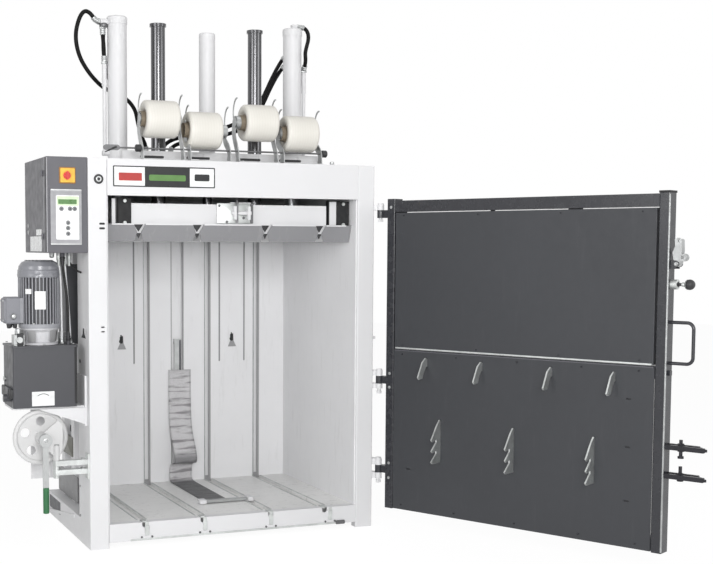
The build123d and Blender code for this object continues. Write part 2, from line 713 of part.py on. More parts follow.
# Cabinet door: a shallow tray whose edges meet the box, with the upper half of each hinge on its left side
with BuildPart() as cabinet_door:
    with BuildSketch(upright_at(cabinet_front)):
        with Locations((cabinet_middle, cabinet_bottom + cabinet_height / 2)):
            Rectangle(cabinet_width, cabinet_height)
    extrude(amount=-cabinet_cover)
    fillet(cabinet_door.edges().filter_by(Axis.Y), radius=4)
    fillet(cabinet_door.faces().sort_by(Axis.Y)[0].edges(), radius=2.5)
    with BuildSketch(upright_at(cabinet_front + cabinet_sheet)):
        with Locations((cabinet_middle, cabinet_bottom + cabinet_height / 2)):
            Rectangle(cabinet_width - 2 * cabinet_sheet - 2, cabinet_height - 2 * cabinet_sheet - 2)
    extrude(amount=-cabinet_cover, mode=Mode.SUBTRACT)
    with BuildSketch(upright_at(cabinet_front)):
        with Locations((cabinet_middle, switch_z)):
            Circle(8 + running_fit)
    extrude(amount=-cabinet_sheet, mode=Mode.SUBTRACT)
    for z in cabinet_hinge_heights:
        with BuildSketch(Plane.XY.offset(z + seat_gap)):
            with Locations((cabinet_hinge_x, cabinet_hinge_y)):
                Circle(cabinet_knuckle)
            with Locations((cabinet_leaf_x, cabinet_hinge_y - cabinet_leaf_shift)):
                Rectangle(cabinet_leaf, 18)
        extrude(amount=knuckle_height)
        with BuildSketch(Plane.XY.offset(z)):
            with Locations((cabinet_hinge_x, cabinet_hinge_y)):
                Circle(cabinet_pin + running_fit)
        extrude(amount=knuckle_height + 1, mode=Mode.SUBTRACT)
finish(cabinet_door, "cabinet_door")

# Control panel: a flat plate with a raised edge on the cabinet door
panel_width = 134.0
panel_height = 236.0
panel_x = cabinet_middle - 5
panel_z = cabinet_bottom + 153
with BuildPart() as control_panel:
    with BuildSketch(upright_at(cabinet_front)):
        with Locations((panel_x, panel_z)):
            RectangleRounded(panel_width, panel_height, 6)
    extrude(amount=5)
    with BuildSketch(upright_at(cabinet_front - 5)):
        with Locations((panel_x, panel_z)):
            RectangleRounded(panel_width - 22, panel_height - 30, 4)
    extrude(amount=-2, mode=Mode.SUBTRACT)
finish(control_panel, "control_panel")

# Main switch: a turning knob whose shaft goes through the cabinet door
with BuildPart() as main_switch:
    with BuildSketch(upright_at(cabinet_front - seat_gap)):
        with Locations((cabinet_middle, switch_z)):
            Circle(16)
    extrude(amount=9)
    fillet(main_switch.faces().sort_by(Axis.Y)[0].edges(), radius=2)
    with BuildSketch(upright_at(cabinet_front - 8)):
        with Locations((cabinet_middle, switch_z)):
            SlotOverall(36, 10, rotation=90)
    extrude(amount=12)
    with BuildSketch(upright_at(cabinet_front - seat_gap)):
        with Locations((cabinet_middle, switch_z)):
            Circle(8)
    extrude(amount=-14)
finish(main_switch, "main_switch")

# Oil tank: a closed box with an overlapping lid and a level fitting
tank_right = -frame_half - tank_side_gap
tank_middle = tank_right - tank_width / 2
tank_line = tank_front + tank_depth / 2
tank_top = tank_bottom + tank_height
level_x = tank_right - 25
level_y = 104.0
with BuildPart() as oil_tank:
    with BuildSketch(Plane.XY.offset(tank_bottom)):
        with Locations((tank_middle, tank_line)):
            RectangleRounded(tank_width, tank_depth, 8)
    extrude(amount=tank_height - 8)
    with BuildSketch(Plane.XY.offset(tank_bottom + tank_sheet)):
        with Locations((tank_middle, tank_line)):
            RectangleRounded(tank_width - 2 * tank_sheet, tank_depth - 2 * tank_sheet, 5)
    extrude(amount=tank_height - 8 - tank_sheet, mode=Mode.SUBTRACT)
    with BuildSketch(Plane.XY.offset(tank_top - 8)):
        with Locations((tank_middle, tank_line)):
            RectangleRounded(tank_width + 8, tank_depth + 8, 8)
    extrude(amount=8)
    with BuildSketch(section_at(tank_middle - tank_width / 2)):
        with Locations((tank_line - 40, tank_bottom + 58)):
            RectangleRounded(54, 62, 6)
    extrude(amount=-16)
    with BuildSketch(section_at(tank_middle - tank_width / 2 - 16)):
        with Locations((tank_line - 40, tank_bottom + 40)):
            Circle(17)
    extrude(amount=-14)
    with BuildSketch(Plane.XY.offset(tank_top)):
        with Locations((level_x, level_y)):
            Circle(10)
    extrude(amount=cable_gland)
finish(oil_tank, "oil_tank")

# Tank bracket: two gusseted arms from the left post under the tank, and a plate hanging behind the lock
bracket_sheet = 8.0
shield_line = 215.0
shield_width = 128.0
shield_x = -frame_half - 150
shield_foot = 294.0
with BuildPart() as tank_bracket:
    with BuildSketch(Plane.XY.offset(tank_bottom - bracket_sheet)):
        with Locations(((-frame_half + tank_middle - tank_width / 2) / 2, tank_line)):
            Rectangle(-frame_half - tank_middle + tank_width / 2, tank_depth - 30)
    extrude(amount=bracket_sheet)
    with BuildSketch(section_at(-frame_half)):
        with Locations(((tank_front + post_depth) / 2, tank_bottom + 20)):
            Rectangle(post_depth - tank_front, 220)
    extrude(amount=-bracket_sheet)
    for gusset_line in (tank_front + 4, tank_front + 130):
        with BuildSketch(upright_at(gusset_line)):
            with BuildLine():
                Polyline((-frame_half, tank_bottom - bracket_sheet), (-frame_half - 210, tank_bottom - bracket_sheet),
                         (-frame_half, tank_bottom - 84), close=True)
            make_face()
        extrude(amount=-bracket_sheet)
    with BuildSketch(upright_at(shield_line)):
        with Locations((shield_x, (shield_foot + tank_bottom - bracket_sheet) / 2)):
            Rectangle(shield_width, tank_bottom - bracket_sheet - shield_foot)
    extrude(amount=-bracket_sheet)
finish(tank_bracket, "tank_bracket")

# Pump bell housing between the tank lid and the motor flange
motor_x = tank_middle
motor_y = tank_line
with BuildPart() as pump_bell_housing:
    with BuildSketch(Plane(origin=(motor_x, motor_y, 0), x_dir=(1, 0, 0), z_dir=(0, -1, 0))):
        with BuildLine():
            Polyline((0, tank_top), (bell_radius + 8, tank_top), (bell_radius + 8, tank_top + 8),
                     (bell_radius - 6, tank_top + 14), (bell_radius, motor_foot - 30),
                     (bell_radius + 12, motor_foot - 18), (bell_radius + 12, motor_foot - 12), (0, motor_foot - 12),
                     close=True)
        make_face()
    revolve(axis=Axis((motor_x, motor_y, 0), (0, 0, 1)))
finish(pump_bell_housing, "pump_bell_housing")

# The terminal box's size sets the pad that carries it on the motor
terminal_width = 96.0
terminal_height = 116.0
terminal_depth = 62.0
terminal_z = motor_foot + 65

# Motor: a cast body with cooling fins all round and a round flange at its foot
with BuildPart() as motor_body:
    with BuildSketch(Plane.XY.offset(motor_foot - 12)):
        with Locations((motor_x, motor_y)):
            Circle(motor_fin_radius)
    extrude(amount=18)
    with BuildSketch(Plane.XY.offset(motor_foot + 6)):
        with Locations((motor_x, motor_y)):
            Circle(motor_radius)
        with Locations((motor_x, motor_y)):
            with PolarLocations((motor_radius + motor_fin_radius) / 2 - 2, motor_fin_count):
                Rectangle(motor_fin_radius - motor_radius + 4, 4)
    extrude(amount=motor_body_height - 6)
    with BuildSketch(Plane.XY.offset(terminal_z - terminal_height / 2 + 4)):
        with Locations((motor_x - motor_fin_radius + 8, motor_y)):
            Rectangle(20, terminal_width - 12)
    extrude(amount=terminal_height - 8)
finish(motor_body, "motor_body")

# Fan cowl over the motor's top, with its rounded shoulder
cowl_base = motor_foot + motor_body_height
with BuildPart() as fan_cowl:
    with BuildSketch(Plane(origin=(motor_x, motor_y, 0), x_dir=(1, 0, 0), z_dir=(0, -1, 0))):
        with BuildLine():
            Polyline((0, cowl_base), (motor_fin_radius + 2, cowl_base), (motor_fin_radius + 2, cowl_base + 30),
                     (motor_fin_radius - 1, cowl_base + 34), (motor_fin_radius - 3, cowl_base + 48),
                     (motor_fin_radius - 16, cowl_base + 66), (motor_fin_radius - 34, cowl_base + cowl_height),
                     (0, cowl_base + cowl_height), close=True)
        make_face()
    revolve(axis=Axis((motor_x, motor_y, 0), (0, 0, 1)))
finish(fan_cowl, "fan_cowl")

# Terminal box on the motor's left side
with BuildPart() as terminal_box:
    with BuildSketch(section_at(motor_x - motor_fin_radius - 2)):
        with Locations((motor_y, terminal_z)):
            RectangleRounded(terminal_width, terminal_height, 10)
    extrude(amount=-terminal_depth)
    chamfer(terminal_box.faces().sort_by(Axis.X)[0].edges(), length=6)
finish(terminal_box, "terminal_box")

# Valve group beside the bell housing: block, two valves, filler cap and gauge
valve_x = tank_middle - tank_width / 2 + 34
with BuildPart() as valve_group:
    with BuildSketch(Plane.XY.offset(tank_top)):
        with Locations((valve_x, motor_y - 52)):
            Rectangle(44, 60)
    extrude(amount=46)
    with BuildSketch(Plane.XY.offset(tank_top + 46)):
        with Locations((valve_x, motor_y - 66), (valve_x, motor_y - 38)):
            Circle(11)
    extrude(amount=18)
    with BuildSketch(upright_at(motor_y - 82)):
        with Locations((valve_x, tank_top + 26)):
            Circle(13)
    extrude(amount=16)
    with BuildSketch(Plane.XY.offset(tank_top)):
        with Locations((tank_right - 30, motor_y + 62)):
            Circle(17)
    extrude(amount=30)
    with BuildSketch(Plane.XY.offset(tank_top + 30)):
        with Locations((tank_right - 30, motor_y + 62)):
            RegularPolygon(22, 8)
    extrude(amount=16)
finish(valve_group, "valve_group")

# Level cable: down from the cabinet's gland, past the motor and into the gland on the tank's lid
cable_diameter = 12.0
level_cable = hose(
    ((cable_x, cable_y, cabinet_bottom - cable_gland), (cable_x, cable_y, 1250), (-766, 112, 1190), (-757, 106, 1120),
     (level_x, level_y, 1040), (level_x, level_y, tank_top + cable_gland)), cable_diameter)
finish(level_cable, "level_cable")

# Lock lugs: two flat bars from the left post that hold the upright lock pin
lug_heights = (350.0, 390.0)
lug_thickness = 22.0
lock_pin_radius = 9.0
lock_pin_foot = 325.0
lock_pin_top = 462.0
barrel_radius = 14.0
barrel_top = lug_heights[1] + lug_thickness / 2 + 2
with BuildPart() as lock_bracket:
    for z in lug_heights:
        with BuildSketch(Plane.XY.offset(z - lug_thickness / 2)):
            with Locations(((lock_pin_x - frame_half) / 2, lock_pin_y)):
                Rectangle(lock_pin_standoff, 34)
            with Locations((lock_pin_x, lock_pin_y)):
                Circle(16)
        extrude(amount=lug_thickness)
    with BuildSketch(Plane.XY.offset(lock_pin_foot)):
        with Locations((lock_pin_x, lock_pin_y)):
            Circle(barrel_radius)
    extrude(amount=barrel_top - lock_pin_foot)
    with BuildSketch(Plane.XY.offset(barrel_top)):
        with Locations((lock_pin_x, lock_pin_y)):
            Circle(lock_pin_radius)
    extrude(amount=lock_pin_top - barrel_top)
    with BuildSketch(section_at(-frame_half)):
        with Locations((lock_pin_y, sum(lug_heights) / 2)):
            Rectangle(46, 110)
    extrude(amount=-8)
finish(lock_bracket, "lock_bracket")

# Swing frame: a sleeve on the lock pin, a web and the nut that carries the spindle
sleeve_bottom = barrel_top + seat_gap
nut_radius = 27.0
with BuildPart() as swing_frame:
    with BuildSketch(Plane.XY.offset(sleeve_bottom)):
        with Locations((lock_pin_x, lock_pin_y)):
            Circle(15)
    extrude(amount=lock_pin_top - sleeve_bottom + 6)
    with BuildSketch(upright_at(lock_pin_y - 6)):
        with BuildLine():
            Polyline((lock_pin_x + 12, sleeve_bottom + 2), (lock_axis_x - 14, lock_axis_z - 26),
                     (lock_axis_x - 26, lock_axis_z + 6), (lock_axis_x, lock_axis_z + 28),
                     (lock_pin_x + 8, lock_axis_z + 78), (lock_pin_x + 26, lock_axis_z + 60),
                     (lock_pin_x + 26, lock_axis_z - 40), close=True)
        make_face()
    extrude(amount=-12)
    with BuildSketch(upright_at(lock_pin_y - 26)):
        with Locations((lock_axis_x, lock_axis_z)):
            Circle(nut_radius)
    extrude(amount=-58)
    with BuildSketch(upright_at(lock_pin_y - 30)):
        with Locations((lock_axis_x, lock_axis_z)):
            Circle(spindle_radius + running_fit)
    extrude(amount=-70, mode=Mode.SUBTRACT)
    with BuildSketch(Plane.XY.offset(sleeve_bottom - 1)):
        with Locations((lock_pin_x, lock_pin_y)):
            Circle(lock_pin_radius + running_fit)
    extrude(amount=lock_pin_top - sleeve_bottom + 1.3, mode=Mode.SUBTRACT)
finish(swing_frame, "swing_frame")

# Hand wheel: rim, dished web with slots, hub and the spindle through the nut
lever_line = lock_pin_y - 26 - seat_gap
spindle_front = lever_line - 28
wheel_axis = Plane(origin=(lock_axis_x, wheel_line, lock_axis_z), x_dir=(1, 0, 0), z_dir=(0, -1, 0))
with BuildPart() as handwheel:
    with BuildSketch(section_at(lock_axis_x)):
        with Locations((wheel_line, lock_axis_z + wheel_radius - wheel_rim)):
            Circle(wheel_rim)
    revolve(axis=Axis((lock_axis_x, wheel_line, lock_axis_z), (0, 1, 0)))
    with BuildSketch(wheel_axis.offset(-4)):
        Circle(wheel_radius - wheel_rim)
        with PolarLocations(70, 5, start_angle=18):
            Circle(20, mode=Mode.SUBTRACT)
    extrude(amount=8)
    with BuildSketch(wheel_axis.offset(-16)):
        Circle(26)
    extrude(amount=44)
    with BuildSketch(wheel_axis.offset(-16)):
        Circle(spindle_radius)
    extrude(amount=wheel_line + 16 - spindle_front)
finish(handwheel, "handwheel")

# Ratchet lever on the spindle's front end, hanging down, and the grip on its lower end
lever_width = 25.0
lever_thickness = 10.0
grip_radius = 13.0
grip_stem = 6.0
grip_top = lock_axis_z - lever_length
with BuildPart() as ratchet_lever:
    with BuildSketch(upright_at(lever_line)):
        with Locations((lock_axis_x, lock_axis_z)):
            Circle(28)
    extrude(amount=26)
    with BuildSketch(upright_at(lever_line - 8)):
        with Locations((lock_axis_x, lock_axis_z - lever_length / 2)):
            Rectangle(lever_width, lever_length)
    extrude(amount=lever_thickness)
    with BuildSketch(Plane.XY.offset(grip_top - grip_length + 12)):
        with Locations((lock_axis_x, lever_line - 8 - lever_thickness / 2)):
            Circle(grip_stem)
    extrude(amount=grip_length - 12)
    with BuildSketch(upright_at(lever_line)):
        with Locations((lock_axis_x, lock_axis_z)):
            Circle(spindle_radius + running_fit)
    extrude(amount=40, mode=Mode.SUBTRACT)
finish(ratchet_lever, "ratchet_lever")

# Grip pushed onto the lever's lower end
grip_line = lever_line - 8 - lever_thickness / 2
with BuildPart() as lever_grip:
    with BuildSketch(Plane.XY.offset(grip_top - grip_length)):
        with Locations((lock_axis_x, grip_line)):
            Circle(grip_radius)
    extrude(amount=grip_length)
    fillet(lever_grip.edges().filter_by(GeomType.CIRCLE), radius=4)
    with BuildSketch(Plane.XY.offset(grip_top - grip_length + 12)):
        with Locations((lock_axis_x, grip_line)):
            Circle(grip_stem)
    extrude(amount=grip_length, mode=Mode.SUBTRACT)
finish(lever_grip, "lever_grip")

# Platen: plate with strap grooves in its underside, lips all round, a standing front beam and a middle box
platen_top = platen_bottom + platen_lip
platen_half = wall_inner - platen_gap
platen_rear = chamber_depth - 17
platen_depth = platen_rear - platen_front
platen_wall = 8.0
beam_front = press_line - 60
beam_rear = press_line + 60
pad_line = platen_half - 65
clevis_x = 43.0
clevis_z = platen_beam_top - 38
clevis_pin = 9.0
with BuildPart() as platen:
    with BuildSketch(upright_at(platen_front)):
        with Locations((0, platen_bottom + platen_plate / 2)):
            Rectangle(2 * platen_half, platen_plate)
        with Locations(*[(x, platen_bottom + (groove_depth + 6) / 2) for x in strap_lines]):
            Rectangle(groove_width + 12, groove_depth + 6)
        with Locations(*[(side * (platen_half - platen_wall / 2), platen_bottom + platen_lip / 2)
                         for side in (-1, 1)]):
            Rectangle(platen_wall, platen_lip)
        with Locations(*[(side * column_offset, platen_bottom + platen_lip / 2) for side in (-1, 1)]):
            Rectangle(platen_wall, platen_lip)
    extrude(amount=-platen_depth)
    with BuildSketch(Plane.XY.offset(platen_bottom)):
        with Locations((0, platen_front + platen_wall / 2), (0, platen_rear - platen_wall / 2)):
            Rectangle(2 * platen_half, platen_wall)
        with Locations((0, beam_front + platen_wall / 2), (0, beam_rear - platen_wall / 2)):
            Rectangle(2 * platen_half, platen_wall)
    extrude(amount=platen_lip)
    with BuildSketch(Plane.XY.offset(platen_top - platen_wall)):
        with Locations((0, press_line)):
            Rectangle(2 * platen_half, beam_rear - beam_front)
        for corner in (platen_front + 24, platen_rear - 24):
            with Locations((-pad_line, corner), (pad_line, corner)):
                Rectangle(2 * (platen_half - pad_line), 48)
    extrude(amount=platen_wall)
    with BuildSketch(upright_at(platen_front)):
        with Locations((0, (platen_top + platen_beam_top) / 2)):
            Rectangle(2 * platen_beam_half, platen_beam_top - platen_top)
    extrude(amount=-platen_wall)
    with BuildSketch(Plane.XY.offset(platen_beam_top - platen_wall)):
        with Locations((0, platen_front + 20)):
            Rectangle(2 * platen_beam_half, 40)
    extrude(amount=platen_wall)
    with BuildSketch(upright_at(platen_front)):
        with Locations((clevis_x, clevis_z)):
            Rectangle(100, 96)
    extrude(amount=8)
    for lug_start in (clevis_x - 40, clevis_x + 28):
        with BuildSketch(section_at(lug_start)):
            with Locations((platen_front - 20, clevis_z)):
                Rectangle(26, 60)
        extrude(amount=12)
    with BuildSketch(section_at(clevis_x - 46)):
        with Locations((platen_front - 20, clevis_z)):
            Circle(clevis_pin)
    extrude(amount=92)
    with BuildSketch(upright_at(platen_front - 10)):
        with Locations(*[(x, platen_bottom + groove_depth / 2) for x in strap_lines]):
            Rectangle(groove_width, groove_depth)
    extrude(amount=-platen_depth - 20, mode=Mode.SUBTRACT)
finish(platen, "platen")

# Guide pads standing on the platen's corners
pad_height = 118.0
with BuildPart() as guide_pads:
    with BuildSketch(Plane.XY.offset(platen_top)):
        for corner in (platen_front + 22, platen_rear - 22):
            with Locations((-pad_line, corner), (pad_line, corner)):
                Rectangle(60, 36)
    extrude(amount=pad_height)
    chamfer(guide_pads.edges().filter_by(Axis.Z), length=3)
finish(guide_pads, "guide_pads")

# Guide columns with their stop caps, and the middle rod that runs in the centre tube
with BuildPart() as guide_columns:
    with BuildSketch(Plane.XY.offset(platen_top)):
        with Locations((-column_offset, press_line), (column_offset, press_line)):
            Circle(column_radius)
    extrude(amount=column_top - platen_top)
    with BuildSketch(Plane.XY.offset(column_top)):
        with Locations((-column_offset, press_line), (column_offset, press_line)):
            Circle(column_cap_radius)
    extrude(amount=column_cap_height)
    with BuildSketch(Plane.XY.offset(platen_top)):
        with Locations((0, press_line)):
            Circle(centre_rod_radius)
    extrude(amount=centre_tube_top - 45 - platen_top)
finish(guide_columns, "guide_columns")

# Piston rods with their pistons inside the barrels
piston_top = cylinder_top - barrel_cap - 10
with BuildPart() as piston_rods:
    with BuildSketch(Plane.XY.offset(platen_top)):
        with Locations((-cylinder_offset, press_line), (cylinder_offset, press_line)):
            Circle(rod_radius)
    extrude(amount=piston_top - piston_height - platen_top)
    with BuildSketch(Plane.XY.offset(piston_top - piston_height)):
        with Locations((-cylinder_offset, press_line), (cylinder_offset, press_line)):
            Circle(piston_radius)
    extrude(amount=piston_height)
finish(piston_rods, "piston_rods")

# The door's own directions: along it from the hinge to the free edge, and out of its inner face
door_turn = radians(180 + door_open_angle)
along = (cos(door_turn), sin(door_turn), 0)
inward = (sin(door_turn), -cos(door_turn), 0)
face_in = 4.0
face_out = face_in - door_thickness
panel_in = face_in - 1


def door_face(w):
    """A plane parallel to the door, w in front of the hinge line; across it is the distance from that line."""
    return Plane(origin=(hinge_x + inward[0] * w, hinge_y + inward[1] * w, 0), x_dir=along, z_dir=inward)


def door_plan(z):
    """A level plane whose first direction runs along the door and whose second points out of its back."""
    return Plane(origin=(hinge_x, hinge_y, z), x_dir=along, z_dir=(0, 0, 1))


def door_section(u):
    """The cross-section plane at u from the door's hinge edge; a negative amount runs to the free edge."""
    reach = u + hinge_reach
    return Plane(origin=(hinge_x + along[0] * reach, hinge_y + along[1] * reach, 0), x_dir=inward,
                 z_dir=(-along[0], -along[1], 0))


# Hinge lugs on the right post with their pins: head, shank and nut
lug_radius = 16.0
pin_head = 14.0
hinge_stacks = (
    (1445.0, 1531.0, ((1500.0, 1524.0),), (1463.0, 1500.0)),
    (636.0, 753.0, ((720.0, 745.0), (660.0, 683.0)), (684.0, 720.0)),
    (210.0, 331.0, ((295.0, 324.0), (230.0, 258.0)), (259.0, 295.0)),
)
door_stop_foot = 893.0
with BuildPart() as door_hinges:
    for pin_foot, pin_top, lugs, arm in hinge_stacks:
        for lug_foot, lug_top in lugs:
            with BuildSketch(Plane.XY.offset(lug_foot)):
                with BuildLine():
                    Polyline((frame_half, 8), (frame_half, 60), (frame_half + 12, 60), (hinge_x + lug_radius - 1, 0),
                             (hinge_x, hinge_y), (hinge_x - lug_radius + 1, 0), close=True)
                make_face()
                with Locations((hinge_x, hinge_y)):
                    Circle(lug_radius)
            extrude(amount=lug_top - lug_foot)
        with BuildSketch(Plane.XY.offset(pin_foot)):
            with Locations((hinge_x, hinge_y)):
                Circle(hinge_pin_radius)
        extrude(amount=pin_top - pin_foot)
        with BuildSketch(Plane.XY.offset(lugs[0][1])):
            with Locations((hinge_x, hinge_y)):
                Circle(pin_head)
        extrude(amount=pin_top - lugs[0][1])
        with BuildSketch(Plane.XY.offset(pin_foot)):
            with Locations((hinge_x, hinge_y)):
                RegularPolygon(pin_head, 6)
        extrude(amount=11)
    with BuildSketch(Plane.XY.offset(door_stop_foot)):
        with Locations((frame_half + 8, 22)):
            Rectangle(16, 26)
    extrude(amount=14)
finish(door_hinges, "door_hinges")

# Door frame: two posts of box section, three rails between them, the hinge arms and the fixed flap hinges
frame_inner_end = door_width - free_post
mid_rail_top = flap_bottom - 4
flap_hinge_u = hinge_post + 6
flap_hinge_w = face_out - 10
flap_knuckle = 9.0
flap_pin = 5.0
flap_hinge_heights = (930.0, 1175.0, 1420.0)
latch_pivot_u = door_width + 26
latch_pivot_z = 1262.0
latch_pin = 5.0
latch_line = (face_in + face_out) / 2
plunger_z = 1181.0
plunger_radius = 6.0
nose_radius = 2.5
nose_length = 40.0
edge_nub = 826.0
with BuildPart() as door_frame:
    with BuildSketch(door_plan(door_bottom)):
        for post_from, post_to in ((0, hinge_post), (frame_inner_end, door_width)):
            with Locations((hinge_reach + (post_from + post_to) / 2, -(face_in + face_out) / 2)):
                RectangleRounded(post_to - post_from, door_thickness, 5)
                RectangleRounded(post_to - post_from - 2 * door_tube_wall, door_thickness - 2 * door_tube_wall, 2,
                                 mode=Mode.SUBTRACT)
    extrude(amount=door_top - door_bottom)
    with BuildSketch(door_plan(door_top)):
        for post_from, post_to in ((0, hinge_post), (frame_inner_end, door_width)):
            with Locations((hinge_reach + (post_from + post_to) / 2, -(face_in + face_out) / 2)):
                RectangleRounded(post_to - post_from, door_thickness, 5)
    extrude(amount=5)
    with BuildSketch(door_section(hinge_post - 1)):
        rail_line = (face_in - 1 + face_out + 1) / 2
        with Locations((rail_line, door_top - 4 - door_rail / 2)):
            Rectangle(door_thickness - 2, door_rail)
            Rectangle(door_thickness - 2 - 2 * door_tube_wall, door_rail - 2 * door_tube_wall, mode=Mode.SUBTRACT)
        rail_back = (panel_in - door_sheet + face_out + 1) / 2
        rail_thick = panel_in - door_sheet - face_out - 1
        with Locations((rail_back, mid_rail_top - door_rail / 2), (rail_back, door_bottom + 5 + door_rail / 2)):
            Rectangle(rail_thick, door_rail)
            Rectangle(rail_thick - 2 * door_tube_wall, door_rail - 2 * door_tube_wall, mode=Mode.SUBTRACT)
    extrude(amount=-(frame_inner_end - hinge_post + 2))
    for pin_foot, pin_top, lugs, arm in hinge_stacks:
        with BuildSketch(door_plan(arm[0] + seat_gap)):
            with BuildLine():
                Polyline((0, -2), (hinge_reach + 1, -2), (hinge_reach + 1, 44), (hinge_reach - 12, 44), (-9, 13),
                         close=True)
            make_face()
            Circle(lug_radius)
            Circle(hinge_pin_radius + running_fit, mode=Mode.SUBTRACT)
        extrude(amount=arm[1] - arm[0] - 2 * seat_gap)
    for z in flap_hinge_heights:
        with BuildSketch(door_plan(z - 24)):
            with BuildLine():
                Polyline((hinge_reach + 10, -face_out), (hinge_reach + 10, -face_out + 5),
                         (hinge_reach + flap_hinge_u, -flap_hinge_w + flap_knuckle),
                         (hinge_reach + flap_hinge_u, -flap_hinge_w),
                         (hinge_reach + hinge_post - 3, -face_out), close=True)
            make_face()
            with Locations((hinge_reach + flap_hinge_u, -flap_hinge_w)):
                Circle(flap_knuckle)
        extrude(amount=24)
        with BuildSketch(door_plan(z - 24)):
            with Locations((hinge_reach + flap_hinge_u, -flap_hinge_w)):
                Circle(flap_pin)
        extrude(amount=50)
    for ear_w in (latch_line - 20, latch_line + 16):
        with BuildSketch(door_face(ear_w)):
            with Locations((hinge_reach + door_width + 12, latch_pivot_z - 2)):
                Rectangle(26, 34)
            with Locations((hinge_reach + latch_pivot_u, latch_pivot_z)):
                Circle(12)
        extrude(amount=4)
    with BuildSketch(door_face(latch_line - 20)):
        with Locations((hinge_reach + latch_pivot_u, latch_pivot_z)):
            Circle(latch_pin)
    extrude(amount=40)
    with BuildSketch(door_section(frame_inner_end)):
        with Locations((latch_line, plunger_z)):
            Circle(plunger_radius + running_fit)
    extrude(amount=-free_post, mode=Mode.SUBTRACT)
    with BuildSketch(door_section(door_width)):
        with Locations((latch_line, plunger_z)):
            Circle(13)
            Circle(plunger_radius + running_fit, mode=Mode.SUBTRACT)
    extrude(amount=-28)
    with BuildSketch(door_plan(edge_nub - 10)):
        with Locations((hinge_reach + door_width + 4, -latch_line)):
            Rectangle(10, 22)
    extrude(amount=20)
finish(door_frame, "door_frame")

# Lower panel: one flat sheet over the inner side of the door below the flap
panel_clear = 3.0
with BuildPart() as lower_panel:
    with BuildSketch(door_face(panel_in - door_sheet)):
        with Locations((hinge_reach + (hinge_post + frame_inner_end) / 2, (door_bottom + mid_rail_top) / 2)):
            Rectangle(frame_inner_end - hinge_post - 2 * panel_clear, mid_rail_top - door_bottom - 6)
        right_slots = [(hinge_reach + door_width - 152, z) for z in (291, 514, 712)]
        with Locations((hinge_reach + 135, 294), *right_slots):
            SlotOverall(22, 7, mode=Mode.SUBTRACT)
    extrude(amount=door_sheet)
finish(lower_panel, "lower_panel")

# Hooks for the straps: four single ones in a row, and three columns of teeth lower down
hook_places = (207.0, 498.0, door_width - 525, door_width - 238)
hook_height = 768.0
catch_places = (293.0, door_width / 2 - 11, door_width - 314)
catch_height = 440.0
hook_sheet = 6.0
with BuildPart() as door_hooks:
    for u in hook_places:
        with BuildSketch(door_section(u)):
            with BuildLine():
                Polyline((panel_in, hook_height - 44), (panel_in + 6, hook_height - 44),
                         (panel_in + 42, hook_height - 10), (panel_in + 48, hook_height + 36),
                         (panel_in + 38, hook_height + 44), (panel_in + 30, hook_height + 6),
                         (panel_in + 12, hook_height - 4), (panel_in + 8, hook_height + 40),
                         (panel_in, hook_height + 40), close=True)
            make_face()
        extrude(amount=hook_sheet)
    for u in catch_places:
        with BuildSketch(door_section(u)):
            with BuildLine():
                Polyline((panel_in, catch_height - 98), (panel_in + 12, catch_height - 98),
                         (panel_in + 12, catch_height + 98), (panel_in, catch_height + 98), close=True)
            make_face()
            for step in (-62, 0, 62):
                with BuildLine():
                    Polyline((panel_in + 10, catch_height + step - 34), (panel_in + 38, catch_height + step - 14),
                             (panel_in + 46, catch_height + step + 22), (panel_in + 36, catch_height + step + 26),
                             (panel_in + 26, catch_height + step), (panel_in + 10, catch_height + step + 4),
                             close=True)
                make_face()
        extrude(amount=hook_sheet)
finish(door_hooks, "door_hooks")

# Lock forks: two level plates with an open slot each, and the bolts through them
fork_sheet = 10.0
fork_tip = door_width + fork_reach
fork_bolt_u = door_width + 58
with BuildPart() as lock_forks:
    for fork_z, bolt_foot, bolt_top in ((fork_upper, 487, 562), (fork_lower, 395, 455)):
        with BuildSketch(door_plan(fork_z - fork_sheet / 2)):
            with BuildLine():
                Polyline((hinge_reach + door_width, -face_in + 4), (hinge_reach + fork_tip - 8, -face_in + 6),
                         (hinge_reach + fork_tip, -face_in + 14), (hinge_reach + fork_tip - 6, -face_in + 22),
                         (hinge_reach + fork_tip - 44, -face_in + 22), (hinge_reach + door_width + 72, -face_in + 22),
                         (hinge_reach + door_width + 72, -face_out - 20),
                         (hinge_reach + fork_tip - 40, -face_out - 20), (hinge_reach + fork_tip - 34, -face_out - 12),
                         (hinge_reach + fork_tip - 42, -face_out - 5), (hinge_reach + door_width, -face_out - 3),
                         close=True)
            make_face()
        extrude(amount=fork_sheet)
        with BuildSketch(door_plan(bolt_foot)):
            with Locations((hinge_reach + fork_bolt_u, -latch_line)):
                Circle(7)
        extrude(amount=bolt_top - bolt_foot)
        with BuildSketch(door_plan(fork_z - fork_sheet / 2 - 11)):
            with Locations((hinge_reach + fork_bolt_u, -latch_line)):
                RegularPolygon(14, 6)
        extrude(amount=11)
        with BuildSketch(door_plan(fork_z + fork_sheet / 2)):
            with Locations((hinge_reach + fork_bolt_u, -latch_line)):
                RegularPolygon(14, 6)
        extrude(amount=11)
        with BuildSketch(door_plan(bolt_foot)):
            with Locations((hinge_reach + fork_bolt_u, -latch_line)):
                Circle(12)
        extrude(amount=9)
finish(lock_forks, "lock_forks")

